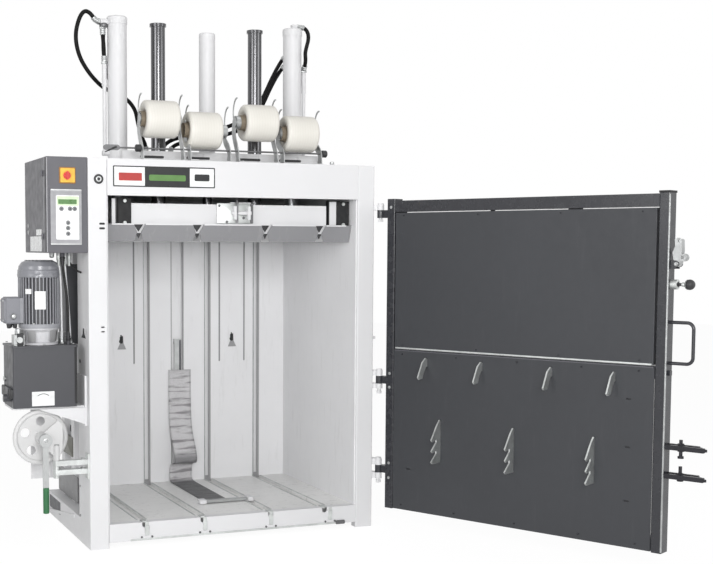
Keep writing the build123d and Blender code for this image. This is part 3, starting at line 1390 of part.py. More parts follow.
# Door handle: a bent tube on the free edge
handle_radius = 7.0
handle_foot = 866.0
handle_head = 1030.0
handle_reach = 97.0
with BuildPart() as door_handle:
    edge_u = hinge_reach + door_width
    with BuildLine(door_face(latch_line)) as handle_path:
        FilletPolyline((edge_u, handle_foot), (edge_u + handle_reach, handle_foot),
                       (edge_u + handle_reach, handle_head), (edge_u, handle_head), radius=26)
    handle_run = handle_path.wire()
    with BuildSketch(Plane(origin=handle_run @ 0, z_dir=handle_run % 0)):
        Circle(handle_radius)
    sweep()
finish(door_handle, "door_handle")

# Feed flap: a folded tray hinged on the back of the door's hinge post
flap_from = hinge_post + 4
flap_to = frame_inner_end - flap_gap
flap_top = door_top - 4 - door_rail - 4
flap_sheet = 3.0
flap_middle = hinge_reach + (flap_from + flap_to) / 2
with BuildPart() as feed_flap:
    with BuildSketch(door_face(panel_in - flap_depth)):
        with Locations((flap_middle, (flap_bottom + flap_top) / 2)):
            Rectangle(flap_to - flap_from, flap_top - flap_bottom)
    extrude(amount=flap_depth)
    fillet(feed_flap.faces().sort_by(Axis(origin=(0, 0, 0), direction=inward))[-1].edges(), radius=2.5)
    with BuildSketch(door_face(panel_in - flap_depth)):
        with Locations((flap_middle, (flap_bottom + flap_top) / 2)):
            Rectangle(flap_to - flap_from - 2 * flap_sheet, flap_top - flap_bottom - 2 * flap_sheet)
    extrude(amount=flap_depth - flap_sheet, mode=Mode.SUBTRACT)
    for z in flap_hinge_heights:
        with BuildSketch(door_plan(z + seat_gap)):
            with Locations((hinge_reach + flap_hinge_u, -flap_hinge_w)):
                Circle(flap_knuckle)
            with BuildLine():
                Polyline((hinge_reach + flap_from, -flap_hinge_w), (hinge_reach + flap_from, -panel_in + 8),
                         (hinge_reach + flap_from + 6, -panel_in + 8), (hinge_reach + flap_from + 6, -flap_hinge_w),
                         close=True)
            make_face()
            with Locations((hinge_reach + flap_hinge_u, -flap_hinge_w)):
                Circle(flap_pin + running_fit, mode=Mode.SUBTRACT)
        extrude(amount=26)
    with BuildSketch(door_section(flap_to - 6)):
        with Locations((latch_line, plunger_z)):
            Circle(plunger_radius + 1.5)
    extrude(amount=-12, mode=Mode.SUBTRACT)
finish(feed_flap, "feed_flap")

# Flap latch: a lever turning on the ears of the door's free edge, with a hooked head and a finger ring
with BuildPart() as flap_latch:
    latch_u = hinge_reach + door_width
    with BuildSketch(door_face(latch_line - 15)):
        with Locations((hinge_reach + latch_pivot_u, latch_pivot_z)):
            Circle(11)
        with BuildLine():
            Polyline((latch_u + 16, latch_pivot_z), (latch_u + 8, latch_pivot_z + 46), (latch_u + 18, latch_pivot_z + 70),
                     (latch_u + 16, latch_pivot_z + 100), (latch_u + 26, latch_pivot_z + 104),
                     (latch_u + 32, latch_pivot_z + 84), (latch_u + 38, latch_pivot_z + 100),
                     (latch_u + 44, latch_pivot_z + 96), (latch_u + 46, latch_pivot_z + 52),
                     (latch_u + 40, latch_pivot_z), close=True)
        make_face()
        with Locations((latch_u + 50, latch_pivot_z + 26)):
            Circle(15)
            Circle(7, mode=Mode.SUBTRACT)
        with Locations((hinge_reach + latch_pivot_u, latch_pivot_z)):
            Circle(latch_pin + running_fit, mode=Mode.SUBTRACT)
    extrude(amount=30)
finish(flap_latch, "flap_latch")

# Latch plunger: a rod through the free post with a thin nose for the flap's edge and a ball on its outer end
nose_from = frame_inner_end + 1
ball_u = door_width + 76
with BuildPart() as latch_plunger:
    with BuildSketch(door_section(nose_from)):
        with Locations((latch_line, plunger_z)):
            Circle(nose_radius)
    extrude(amount=-nose_length)
    with BuildSketch(door_section(nose_from + nose_length)):
        with Locations((latch_line, plunger_z)):
            Circle(plunger_radius)
    extrude(amount=-(ball_u - nose_from - nose_length))
    ball_reach = ball_u + hinge_reach
    with Locations((hinge_x + along[0] * ball_reach + inward[0] * latch_line,
                    hinge_y + along[1] * ball_reach + inward[1] * latch_line, plunger_z)):
        Sphere(21)
finish(latch_plunger, "latch_plunger")

# Ejector webbing: hangs from its tongue on the back wall and runs forward along the floor
webbing_sheet = 5.0
webbing_left = -50.0
webbing_top = 680.0
webbing_width = 120.0
webbing_floor = floor_height + webbing_sheet / 2
webbing_back = chamber_depth - 8
webbing_front = 300.0
with BuildPart() as ejector_webbing:
    with BuildSketch(section_at(webbing_left)):
        with BuildLine():
            FilletPolyline((webbing_back, webbing_top), (webbing_back - 2, 430), (webbing_back - 30, 330),
                           (webbing_back - 32, 250), (webbing_back - 11, 164), (webbing_back - 23, webbing_floor),
                           (webbing_front, webbing_floor), radius=24)
        trace(line_width=webbing_sheet)
    extrude(amount=webbing_width)
finish(ejector_webbing, "ejector_webbing")

# Ejector irons: the tongue hooked over the back wall's middle channel, and the bar across the webbing's end
bar_thickness = 10.0
tongue_width = 35.0
tongue_length = 190.0
tongue_sheet = 4.0
tongue_line = webbing_back + webbing_sheet / 2
tongue_top = webbing_top - 20 + tongue_length
with BuildPart() as ejector_irons:
    with BuildSketch(upright_at(tongue_line)):
        with Locations((0, tongue_top - tongue_length / 2)):
            Rectangle(tongue_width, tongue_length)
    extrude(amount=-tongue_sheet)
    with BuildSketch(upright_at(tongue_line + tongue_sheet)):
        with Locations((0, tongue_top - 12)):
            Rectangle(tongue_width, 24)
    extrude(amount=-(chamber_depth + channel_depth - tongue_line - tongue_sheet))
    with BuildSketch(Plane.XY.offset(floor_height + webbing_sheet)):
        with Locations((45, webbing_front - 14)):
            Rectangle(240, 34)
    extrude(amount=bar_thickness)
finish(ejector_irons, "ejector_irons")
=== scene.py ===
# %% [markdown]
# # A recycling baler, dressed in Blender
# A baler is a tall steel press. A ram plate comes down on loose cardboard in a chamber, four straps are led
# round the bale, and the whole front opens as one door. The solids come from the CAD model and stay where
# they are. This script gives them their finishes and adds what a solid model leaves out: hoses, the woven
# belt, fittings, screws, plates and marks.

# %% Load the frame
import json

import bpy
import numpy as np
from mathutils import Matrix, Vector


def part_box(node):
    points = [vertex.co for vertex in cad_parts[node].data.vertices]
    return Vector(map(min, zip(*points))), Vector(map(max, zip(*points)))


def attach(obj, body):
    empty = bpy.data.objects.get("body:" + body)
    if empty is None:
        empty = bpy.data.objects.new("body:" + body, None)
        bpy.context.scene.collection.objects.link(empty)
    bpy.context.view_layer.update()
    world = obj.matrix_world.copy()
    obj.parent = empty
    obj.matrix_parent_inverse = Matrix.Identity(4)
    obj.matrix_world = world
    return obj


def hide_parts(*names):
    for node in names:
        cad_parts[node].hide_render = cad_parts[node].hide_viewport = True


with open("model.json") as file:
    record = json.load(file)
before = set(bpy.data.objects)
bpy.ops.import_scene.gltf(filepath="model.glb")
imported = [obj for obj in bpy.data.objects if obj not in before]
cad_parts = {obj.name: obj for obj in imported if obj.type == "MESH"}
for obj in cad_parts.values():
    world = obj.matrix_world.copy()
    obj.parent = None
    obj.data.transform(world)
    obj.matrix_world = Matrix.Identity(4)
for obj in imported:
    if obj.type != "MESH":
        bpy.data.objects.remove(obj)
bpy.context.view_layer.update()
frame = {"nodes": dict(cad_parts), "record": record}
nodes = frame["nodes"]

# %% [markdown]
# The machine is drawn in millimetres from the floor, midway between its front posts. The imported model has
# its origin elsewhere, so the middle is found again from the two posts, and one helper turns millimetres
# into the frame's metres. It takes one point or a whole array of points.

# %% Find the middle of the machine
left_post_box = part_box("left_post")
right_post_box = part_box("right_post")
middle = np.array([(left_post_box[1][0] + right_post_box[0][0]) / 2, left_post_box[0][1], 0.0])


def place(points):
    """Millimetres from the floor midway between the posts, as metres in the frame."""
    return np.asarray(points, dtype=float) / 1000 + middle


print("middle of the machine at", np.round(middle, 4))

# %% [markdown]
# The door stands open, so its own directions are turned. Every door piece is placed by its distance from
# the hinge edge, its depth through the door and its height.

# %% The door's own directions
door_angle = np.radians(180 + 117)
along = np.array([np.cos(door_angle), np.sin(door_angle), 0.0])
inward = np.array([np.sin(door_angle), -np.cos(door_angle), 0.0])
hinge_line = np.array([715.0, -6.0, 0.0])
hinge_reach = 40.0


def on_door(points):
    """Rows of (distance from the hinge edge, depth, height) on the door, as millimetres of the machine."""
    points = np.asarray(points, dtype=float)
    run = (points[..., 0:1] + hinge_reach) * along
    return hinge_line + run + points[..., 1:2] * inward + points[..., 2:3] * np.array([0.0, 0.0, 1.0])


print("door runs along", np.round(along, 3))

# %% [markdown]
# The camera stands left of the machine, a little above its middle, and looks slightly down. Its directions
# are built as three unit vectors and put straight into its matrix. The photograph is a crop, so the lens is
# shifted instead of turned, which keeps upright edges as they are.

# %% Camera
camera_place = (-1981.0, -5267.0, 1324.0)
camera_yaw = np.radians(21.48)
camera_pitch = np.radians(4.29)
camera_roll = np.radians(0.12)


def camera_matrix():
    """The camera's matrix: right, up and backwards as columns, turned by the roll, then its place."""
    forward = np.array([np.sin(camera_yaw) * np.cos(camera_pitch), np.cos(camera_yaw) * np.cos(camera_pitch),
                        -np.sin(camera_pitch)])
    right = np.array([np.cos(camera_yaw), -np.sin(camera_yaw), 0.0])
    up = np.cross(right, forward)
    rolled_right = np.cos(camera_roll) * right + np.sin(camera_roll) * up
    rolled_up = np.cos(camera_roll) * up - np.sin(camera_roll) * right
    matrix = np.eye(4)
    matrix[:3, 0] = rolled_right
    matrix[:3, 1] = rolled_up
    matrix[:3, 2] = -forward
    matrix[:3, 3] = place(camera_place)
    return Matrix(matrix.tolist())


camera_data = bpy.data.cameras.new("camera")
camera_data.sensor_width = 36.0
camera_data.lens = 62.99
camera_data.shift_x = 0.1405
camera_data.shift_y = 0.0829
camera = bpy.data.objects.new("camera", camera_data)
bpy.context.scene.collection.objects.link(camera)
camera.matrix_world = camera_matrix()
bpy.context.scene.camera = camera
bpy.context.scene.view_settings.view_transform = "Standard"
print("camera at", [round(v, 3) for v in camera.location])

# %% [markdown]
# The picture was taken in a white studio. The floor takes a soft shadow, but the camera and the polished
# parts see it as white paper, which a Light Path node decides. Five square lamps light the machine: the one
# near the camera reaches the chamber's back wall, those at the left, the left corner, the right and the top
# shape the rest, and the white world fills the shadows. Sums in a material are nodes too, so a helper adds
# such a node and connects or sets each of its inputs.

# %% Studio
white_paper = (1.0, 1.0, 1.0, 1.0)
paper_glow, paper_share = 1.04, 0.9
shadow_fill = 0.34


def maths(owner, operation, *values, kind="Math"):
    """A Math or VectorMath node of a material or world: outputs are linked to its inputs, numbers are set."""
    node = owner.node_tree.nodes.new("ShaderNode" + kind)
    node.operation = operation
    for socket, value in zip(node.inputs, values):
        if isinstance(value, bpy.types.NodeSocket):
            owner.node_tree.links.new(value, socket)
        else:
            socket.default_value = value
    return node.outputs["Value" if operation == "LENGTH" else 0]


def seen_directly(owner):
    """One where a ray comes from the camera, a mirror or a glass, and nothing elsewhere."""
    path = owner.node_tree.nodes.new("ShaderNodeLightPath").outputs
    glossy = maths(owner, "MAXIMUM", path["Is Camera Ray"], path["Is Glossy Ray"])
    return maths(owner, "MAXIMUM", glossy, path["Is Transmission Ray"])


def paper_floor():
    """White paper: mostly plain light to the camera, with a share of real shading that keeps the shadow."""
    paper = bpy.data.materials.new("paper_floor")
    paper.use_nodes = True
    tree = paper.node_tree
    shader = tree.nodes["Principled BSDF"]
    shader.inputs["Base Color"].default_value = white_paper
    shader.inputs["Roughness"].default_value = 0.9
    glow = tree.nodes.new("ShaderNodeEmission")
    glow.inputs["Color"].default_value = white_paper
    glow.inputs["Strength"].default_value = paper_glow
    blend = tree.nodes.new("ShaderNodeMixShader")
    share = maths(paper, "MULTIPLY", seen_directly(paper), paper_share)
    for socket, value in zip(blend.inputs, (share, shader.outputs[0], glow.outputs[0])):
        tree.links.new(value, socket)
    tree.links.new(blend.outputs[0], tree.nodes["Material Output"].inputs["Surface"])
    return paper


floor_half = 14.0
floor_mesh = bpy.data.meshes.new("studio_floor")
floor_corners = [(x * floor_half, y * floor_half, 0) for x, y in ((-1, -1), (1, -1), (1, 1), (-1, 1))]
floor_mesh.from_pydata(floor_corners, [], [(0, 1, 2, 3)])
floor_mesh.materials.append(paper_floor())
studio_floor = bpy.data.objects.new("studio_floor", floor_mesh)
bpy.context.scene.collection.objects.link(studio_floor)

world = bpy.data.worlds.new("studio")
world.use_nodes = True
bpy.context.scene.world = world
sky = world.node_tree.nodes["Background"]
sky.inputs["Color"].default_value = white_paper
sky_share = world.node_tree.nodes.new("ShaderNodeMapRange")
sky_share.inputs["To Min"].default_value = shadow_fill
sky_share.inputs["To Max"].default_value = 1.0
world.node_tree.links.new(seen_directly(world), sky_share.inputs["Value"])
world.node_tree.links.new(sky_share.outputs[0], sky.inputs["Strength"])


def softbox(name, spot, target, size, power):
    """A square area lamp at spot, facing target; both in millimetres of the machine, the size in metres."""
    lamp_data = bpy.data.lights.new(name, "AREA")
    lamp_data.shape = "SQUARE"
    lamp_data.size = size
    lamp_data.energy = power
    lamp = bpy.data.objects.new(name, lamp_data)
    bpy.context.scene.collection.objects.link(lamp)
    lamp.location = place(spot)
    aim = Vector(place(target) - place(spot))
    lamp.rotation_euler = aim.to_track_quat("-Z", "Y").to_euler()


lamps = {
    "front_box": ((-1300, -5900, 2300), (0, 400, 900), 1.8, 184),
    "left_box": ((-5200, -2600, 2400), (-700, 100, 1000), 2.0, 64),
    "corner_box": ((-3300, -5600, 1300), (-700, 150, 900), 1.2, 46),
    "right_box": ((4300, -3600, 2400), (1200, -500, 900), 2.0, 40),
    "top_box": ((100, -700, 5200), (100, 300, 1700), 2.4, 26),
}
for name, values in lamps.items():
    softbox(name, *values)
print("studio has a floor, a world and", len(lamps), "lamps")

# %% [markdown]
# A finish is a Principled shader with a few pattern nodes in front of it. Small helpers keep the recipes
# short. They start a material, add a node, read the object's own coordinates, add a noise on them, carry a
# value from one range to another, mix two colours, feed the shader, and turn a pattern into a bump.

# %% Helpers for finishes
def start_finish(name, colour, roughness, metallic=0.0):
    """A material whose Principled shader holds the plain values on its own sockets."""
    finish = bpy.data.materials.new(name)
    finish.use_nodes = True
    shader = finish.node_tree.nodes["Principled BSDF"]
    shader.inputs["Base Color"].default_value = (*colour, 1.0)
    shader.inputs["Roughness"].default_value = roughness
    shader.inputs["Metallic"].default_value = metallic
    return finish, shader


def add_node(finish, kind, **values):
    """A node of that kind with the named input values set."""
    node = finish.node_tree.nodes.new(kind)
    for key, value in values.items():
        node.inputs[key].default_value = value
    return node


def coordinates(finish, stretch=(1, 1, 1), centre=(0, 0, 0), output="Object"):
    """Object or UV coordinates, moved to a centre and stretched by a factor in each direction."""
    source = add_node(finish, "ShaderNodeTexCoord").outputs[output]
    centred = maths(finish, "SUBTRACT", source, centre, kind="VectorMath")
    return maths(finish, "MULTIPLY", centred, stretch, kind="VectorMath")


def noise(finish, scale, detail=3.0, roughness=0.55, vector=None):
    """A noise of so many lumps to the metre."""
    cloud = add_node(finish, "ShaderNodeTexNoise", Scale=scale, Detail=detail, Roughness=roughness)
    finish.node_tree.links.new(coordinates(finish) if vector is None else vector, cloud.inputs["Vector"])
    return cloud.outputs["Fac"]


def ranged(finish, value, from_low, from_high, low=0.0, high=1.0):
    """The value carried from one range to another and held inside it."""
    span = add_node(finish, "ShaderNodeMapRange", **{"From Min": from_low, "From Max": from_high,
                                                     "To Min": low, "To Max": high})
    finish.node_tree.links.new(value, span.inputs["Value"])
    return span.outputs["Result"]


def mixed(finish, share, first, second):
    """Two colours, or outputs that carry colours, mixed by a share."""
    blend = finish.node_tree.nodes.new("ShaderNodeMix")
    blend.data_type = "RGBA"
    links = finish.node_tree.links
    links.new(share, blend.inputs["Factor"])
    for socket, value in ((blend.inputs[6], first), (blend.inputs[7], second)):
        if isinstance(value, tuple):
            socket.default_value = (*value, 1.0)
        else:
            links.new(value, socket)
    return blend.outputs[2]


def feed(shader, socket, value):
    """An output connected to one of the shader's inputs."""
    shader.id_data.links.new(value, shader.inputs[socket])


def raised(finish, shader, height, depth, strength=1.0):
    """The height pattern as a bump, depth metres deep, on the shader."""
    bump = add_node(finish, "ShaderNodeBump", Strength=strength, Distance=depth)
    finish.node_tree.links.new(height, bump.inputs["Height"])
    feed(shader, "Normal", bump.outputs["Normal"])


def shade(colour, factor):
    """A colour made lighter or darker by a factor."""
    return tuple(min(1.0, channel * factor) for channel in colour)


print("helpers for finishes ready")

# %% [markdown]
# Powder coat is paint melted from dust. It has a faint orange-peel relief about a millimetre across, an even
# but not perfect colour, and a gloss that varies a little. In use it picks up dust low down and rubbed
# streaks where cardboard slides. So the recipe has a broad cloud for the colour, fine lumps for the relief
# and a stretched noise for the rubbing.

# %% Powder coat
def powder_coat(name, colour, roughness=0.42, cloud=0.05, peel=0.00006, rub=0.0, rub_colour=(0.5, 0.5, 0.49)):
    """Paint with a broad colour cloud, an orange-peel bump and, where rub is above 0, rubbed streaks."""
    finish, shader = start_finish(name, colour, roughness)
    tone = mixed(finish, ranged(finish, noise(finish, 2.2, 4.0), 0.3, 0.7), shade(colour, 1 - cloud),
                 shade(colour, 1 + cloud))
    if rub > 0:
        streaks = noise(finish, 5.0, 6.0, 0.7, coordinates(finish, (6.0, 6.0, 0.8)))
        tone = mixed(finish, ranged(finish, streaks, 0.56, 0.72, 0.0, rub), tone, rub_colour)
    feed(shader, "Base Color", tone)
    gloss = ranged(finish, noise(finish, 26.0), 0.35, 0.65, roughness - 0.06, roughness + 0.07)
    feed(shader, "Roughness", gloss)
    raised(finish, shader, noise(finish, 900.0, 2.0), peel)
    return finish


frame_paint = powder_coat("frame_paint", (0.69, 0.69, 0.70), 0.42, 0.02, rub=0.10,
                          rub_colour=(0.64, 0.64, 0.62))
chamber_paint = powder_coat("chamber_paint", (0.76, 0.76, 0.77), 0.5, 0.03, rub=0.45,
                            rub_colour=(0.60, 0.60, 0.595))
floor_paint = powder_coat("floor_paint", (0.78, 0.78, 0.77), 0.40, 0.05, rub=0.8,
                          rub_colour=(0.52, 0.525, 0.52))
rubbed_grey = (0.10, 0.10, 0.105)
dark_paint = powder_coat("dark_paint", (0.031, 0.033, 0.038), 0.46, 0.06, 0.00008, 0.10, rubbed_grey)
glossy_dark = powder_coat("glossy_dark", (0.024, 0.025, 0.030), 0.26, 0.05, 0.00003, 0.04, rubbed_grey)
tank_paint = powder_coat("tank_paint", (0.050, 0.051, 0.058), 0.44, 0.04)
cabinet_paint = powder_coat("cabinet_paint", (0.092, 0.091, 0.103), 0.44, 0.04)
cowl_paint = powder_coat("cowl_paint", (0.22, 0.225, 0.245), 0.22, 0.04)
wheel_paint = powder_coat("wheel_paint", (0.62, 0.62, 0.62), 0.35, 0.05, 0.00012, 0.3, (0.45, 0.45, 0.45))
print("nine powder coats")

# %% [markdown]
# Metals differ by how they were made. Drawn and brushed steel has fine lines along one direction, zinc plate
# has a dull grain of crystals, and the press rods and guide columns are ground and polished, dark because
# they mirror the room. Each is a metallic shader whose roughness carries the pattern. Two shadow paints stand
# with them, for recesses.

# %% Metals
def lined_metal(name, colour, roughness, stretch, lines=60.0):
    """Metal with fine lines: a noise squeezed across the lines, in the roughness, colour and bump."""
    finish, shader = start_finish(name, colour, roughness, 1.0)
    grain = noise(finish, lines, 5.0, 0.6, coordinates(finish, stretch))
    feed(shader, "Roughness", ranged(finish, grain, 0.3, 0.7, roughness - 0.08, roughness + 0.12))
    feed(shader, "Base Color", mixed(finish, ranged(finish, grain, 0.25, 0.75), shade(colour, 0.86),
                                     shade(colour, 1.1)))
    raised(finish, shader, grain, 0.00003)
    return finish


def plated_metal(name, colour, roughness):
    """Zinc plate: small crystals of slightly different tone, with duller and cleaner patches."""
    finish, shader = start_finish(name, colour, roughness, 0.9)
    crystals = add_node(finish, "ShaderNodeTexVoronoi", Scale=260.0)
    finish.node_tree.links.new(coordinates(finish), crystals.inputs["Vector"])
    spread = crystals.outputs["Distance"]
    patches = ranged(finish, noise(finish, 18.0, 4.0), 0.35, 0.65)
    tone = mixed(finish, patches, shade(colour, 0.82), shade(colour, 1.12))
    feed(shader, "Base Color", mixed(finish, ranged(finish, spread, 0.0, 0.8, 0.0, 0.35), tone,
                                     shade(colour, 0.7)))
    gloss = ranged(finish, noise(finish, 70.0), 0.3, 0.7, roughness - 0.08, roughness + 0.12)
    feed(shader, "Roughness", gloss)
    raised(finish, shader, spread, 0.00003)
    return finish


def polished_metal(name, colour, roughness):
    """Ground and chromed steel: a gloss that varies a little in long streaks down the rod."""
    finish, shader = start_finish(name, colour, roughness, 0.85)
    streaks = noise(finish, 60.0, vector=coordinates(finish, stretch=(1.0, 1.0, 0.03)))
    feed(shader, "Roughness", ranged(finish, streaks, 0.3, 0.7, roughness - 0.05, roughness + 0.08))
    feed(shader, "Base Color", mixed(finish, ranged(finish, streaks, 0.35, 0.65, 0.0, 0.6), colour,
                                     shade(colour, 0.8)))
    return finish


steel = lined_metal("steel", (0.55, 0.56, 0.57), 0.34, (1.0, 1.0, 12.0))
lever_steel = lined_metal("lever_steel", (0.45, 0.46, 0.46), 0.36, (12.0, 12.0, 1.0))
zinc = plated_metal("zinc", (0.46, 0.47, 0.47), 0.36)
dark_zinc = plated_metal("dark_zinc", (0.17, 0.17, 0.175), 0.40)
pale_zinc = plated_metal("pale_zinc", (0.62, 0.64, 0.63), 0.45)
fork_steel = plated_metal("fork_steel", (0.045, 0.045, 0.05), 0.38)
chrome_rod = polished_metal("chrome_rod", (0.115, 0.115, 0.12), 0.16)
shade_grey = powder_coat("shade_grey", (0.30, 0.30, 0.305), 0.6, 0.03)
pit_dark = powder_coat("pit_dark", (0.012, 0.012, 0.013), 0.7, 0.0)
print("seven metals and two shadow paints")

# %% [markdown]
# The motor's fins and its bell are cast aluminium under paint, a little rougher than the sheet metal. The
# fins carry painted light, painted shade between them and a painted highlight on their edges, both set by the
# distance from the motor's axis.
# Guide blocks, keys and plugs are moulded plastic, the hoses and the green grip are rubbery.

# %% Castings, plastics and rubber
motor_axis = np.array([-866.0, 165.0])


def cast_paint(name, colour):
    """Paint over a sand casting: a coarser, deeper grain than powder coat, darker in its hollows."""
    finish, shader = start_finish(name, colour, 0.5)
    sand = noise(finish, 420.0, 4.0, 0.65)
    feed(shader, "Base Color", mixed(finish, ranged(finish, sand, 0.3, 0.7), shade(colour, 0.85),
                                     shade(colour, 1.12)))
    raised(finish, shader, sand, 0.00035, 0.7)
    return finish


def moulded(name, colour, roughness, grain=650.0, depth=0.00008):
    """Moulded plastic: a fine spark-eroded grain and a gloss that handling has varied."""
    finish, shader = start_finish(name, colour, roughness)
    gloss = ranged(finish, noise(finish, 45.0), 0.3, 0.7, roughness - 0.08, roughness + 0.1)
    feed(shader, "Roughness", gloss)
    feed(shader, "Base Color", mixed(finish, ranged(finish, noise(finish, 30.0, 4.0), 0.3, 0.7),
                                     shade(colour, 0.9), shade(colour, 1.1)))
    raised(finish, shader, noise(finish, grain, 2.0), depth)
    return finish


def fin_shade_cast(name, valley_shade, ridge_highlight, inner, outer):
    """Cast paint, painted shade near the motor's axis and a painted highlight far from it, mixed between two
    radii in metres.
    """
    finish, shader = start_finish(name, ridge_highlight, 0.45)
    centre = tuple(place((*motor_axis, 0)))
    flat = maths(finish, "MULTIPLY", coordinates(finish, centre=centre), (1.0, 1.0, 0.0), kind="VectorMath")
    radius = maths(finish, "LENGTH", flat, kind="VectorMath")
    speckle = mixed(finish, noise(finish, 60.0), ridge_highlight, shade(ridge_highlight, 0.8))
    feed(shader, "Base Color", mixed(finish, ranged(finish, radius, inner, outer), valley_shade, speckle))
    raised(finish, shader, noise(finish, 220.0), 0.0002, 0.4)
    return finish


motor_cast = cast_paint("motor_cast", (0.21, 0.213, 0.235))
# The fins' colour holds painted shade in the valleys and a painted highlight on the edges.
motor_fins_painted_light = fin_shade_cast("motor_fins_painted_light", (0.045, 0.046, 0.052), (0.34, 0.345, 0.37), 0.0825, 0.0895)
bell_cast = cast_paint("bell_cast", (0.60, 0.60, 0.62))
hose_rubber = moulded("hose_rubber", (0.004, 0.004, 0.004), 0.65, 900.0, 0.0001)
black_plastic = moulded("black_plastic", (0.020, 0.020, 0.022), 0.5)
block_plastic = moulded("block_plastic", (0.005, 0.005, 0.006), 0.65)
panel_grey = moulded("panel_grey", (0.33, 0.33, 0.345), 0.4)
panel_white = moulded("panel_white", (0.80, 0.81, 0.80), 0.35)
switch_red = moulded("switch_red", (0.60, 0.035, 0.03), 0.3)
grip_green = moulded("grip_green", (0.023, 0.13, 0.047), 0.5, 300.0, 0.0002)
print("castings and plastics ready")

# %% [markdown]
# A strap reel is one long plastic strap wound on a core. Its side shows the windings as fine rings, its rim
# shows the strap's flat lengths side by side, and near the core its dished ends are darkened to a card brown,
# painted shade in the hollow. Both patterns are sines, one of the distance from the reel's own axis and one
# of the place along it, so each reel has its own finish.

# %% Wound strap
strap_cream = (0.72, 0.70, 0.65)
winding_pitch, strap_pitch = 0.0019, 0.0125


def wound_strap(name, axis):
    """Cream strap in soft bands across the roll and rings on its ends, both from its distance to the axis."""
    finish, shader = start_finish(name, strap_cream, 0.42)
    links = finish.node_tree.links
    apart = add_node(finish, "ShaderNodeSeparateXYZ")
    links.new(coordinates(finish, centre=tuple(place(axis))), apart.inputs[0])
    flat = add_node(finish, "ShaderNodeCombineXYZ")
    for number in (1, 2):
        links.new(apart.outputs[number], flat.inputs[number])
    radius = maths(finish, "LENGTH", flat.outputs[0], kind="VectorMath")
    wobble = noise(finish, 14.0)
    waves = []
    for value, pitch, sway in ((radius, winding_pitch, 1.0), (apart.outputs[0], strap_pitch, 7.0)):
        swayed = maths(finish, "MULTIPLY", wobble, sway)
        wave = maths(finish, "SINE", maths(finish, "MULTIPLY_ADD", value, 2 * np.pi / pitch, swayed))
        waves.append(ranged(finish, wave, -1.0, 1.0))
    rings, bands = waves
    tone = mixed(finish, ranged(finish, bands, 0.0, 0.5, 0.30, 0.0), strap_cream, (0.65, 0.63, 0.57))
    # Painted shade: near the core the dished ends darken to a card brown.
    core_dish_shaded = mixed(finish, ranged(finish, radius, 0.036, 0.062, 0.75, 0.0), tone, (0.17, 0.14, 0.10))
    feed(shader, "Base Color", mixed(finish, ranged(finish, rings, 0.0, 0.5, 0.15, 0.0), core_dish_shaded,
                                     (0.55, 0.53, 0.47)))
    raised(finish, shader, maths(finish, "ADD", rings, bands), 0.00025, 0.35)
    return finish


print("strap finish ready")

# %% [markdown]
# Every CAD node now takes the finish of its material slot from the record. Some nodes of one slot differ in
# wear or gloss on the real machine, so they have a finish of their own: the chamber is rubbed by cardboard,
# the door's posts shine, the wheel is pale.

# %% Dress the solids
own_finishes = {
    "floor_plate": floor_paint, "back_wall": chamber_paint, "left_side_wall": chamber_paint,
    "right_side_wall": chamber_paint, "door_frame": glossy_dark, "door_handle": glossy_dark,
    "cabinet_box": cabinet_paint, "cabinet_door": cabinet_paint, "fan_cowl": cowl_paint,
    "pump_bell_housing": bell_cast, "handwheel": wheel_paint, "swing_frame": wheel_paint,
    "lock_bracket": pale_zinc, "lock_forks": fork_steel, "ratchet_lever": lever_steel,
    "tank_bracket": frame_paint, "release_rod": dark_zinc, "control_panel": panel_grey,
    "valve_group": zinc, "motor_body": motor_fins_painted_light,
}
slot_finishes = {
    "frame_paint": frame_paint, "dark_paint": dark_paint, "unit_grey": tank_paint, "steel": steel,
    "zinc": zinc, "chrome_rod": chrome_rod, "motor_cast": motor_cast, "hose_rubber": hose_rubber,
    "black_plastic": black_plastic, "panel_white": panel_white, "switch_red": switch_red,
    "grip_green": grip_green, "webbing": zinc, "strap_roll": panel_white,
}
slot_of = {part["node"]: part["material_slot"] for part in frame["record"]["subparts"]}
for name, node in nodes.items():
    chosen = own_finishes.get(name, slot_finishes[slot_of[name]])
    for slot in node.material_slots:
        slot.material = chosen
print("dressed", len(nodes), "nodes")

# %% [markdown]
# Everything that is added below is a skin: rows of points joined by four-sided faces. One helper stacks
# outlines along a direction, which makes plates, turned parts and bolt heads. Another carries a round along
# a line, for pipes and sleeves. A third turns a closed outline round an axis, for rings. Then one call makes
# an object from several skins and lets it ride on its body. A first depth a little below nothing seats a
# piece in what carries it.

# %% Helpers for skins
upright = np.array([0.0, 0.0, 1.0])
to_front = np.array([0.0, -1.0, 0.0])
to_back = np.array([0.0, 1.0, 0.0])
to_left = np.array([-1.0, 0.0, 0.0])
to_right = np.array([1.0, 0.0, 0.0])
usual_slots = {zinc: "zinc", dark_zinc: "zinc", pale_zinc: "zinc", black_plastic: "black_plastic",
               glossy_dark: "dark_paint"}


def quads(rows, columns, wrap_columns=True, wrap_rows=False):
    """Faces between neighbouring rows and columns of a grid of points, as four numbers each."""
    i, j = np.meshgrid(np.arange(rows if wrap_rows else rows - 1),
                       np.arange(columns if wrap_columns else columns - 1), indexing="ij")
    below, next_column = (i + 1) % rows, (j + 1) % columns
    corners = (i * columns + j, i * columns + next_column, below * columns + next_column, below * columns + j)
    return np.stack(corners, axis=-1).reshape(-1, 4).tolist()


def closed(rows, count):
    """The faces of a stack of closed outlines, with one face over each end."""
    last = (rows - 1) * count
    return quads(rows, count) + [list(range(count))[::-1], list(range(last, last + count))]


def ring(radius, count=28):
    """A circle's points, or a hexagon's with six, anticlockwise: radius times cosine and sine of the turn."""
    turn = np.arange(count) * 2 * np.pi / count
    return radius * np.column_stack([np.cos(turn), np.sin(turn)])


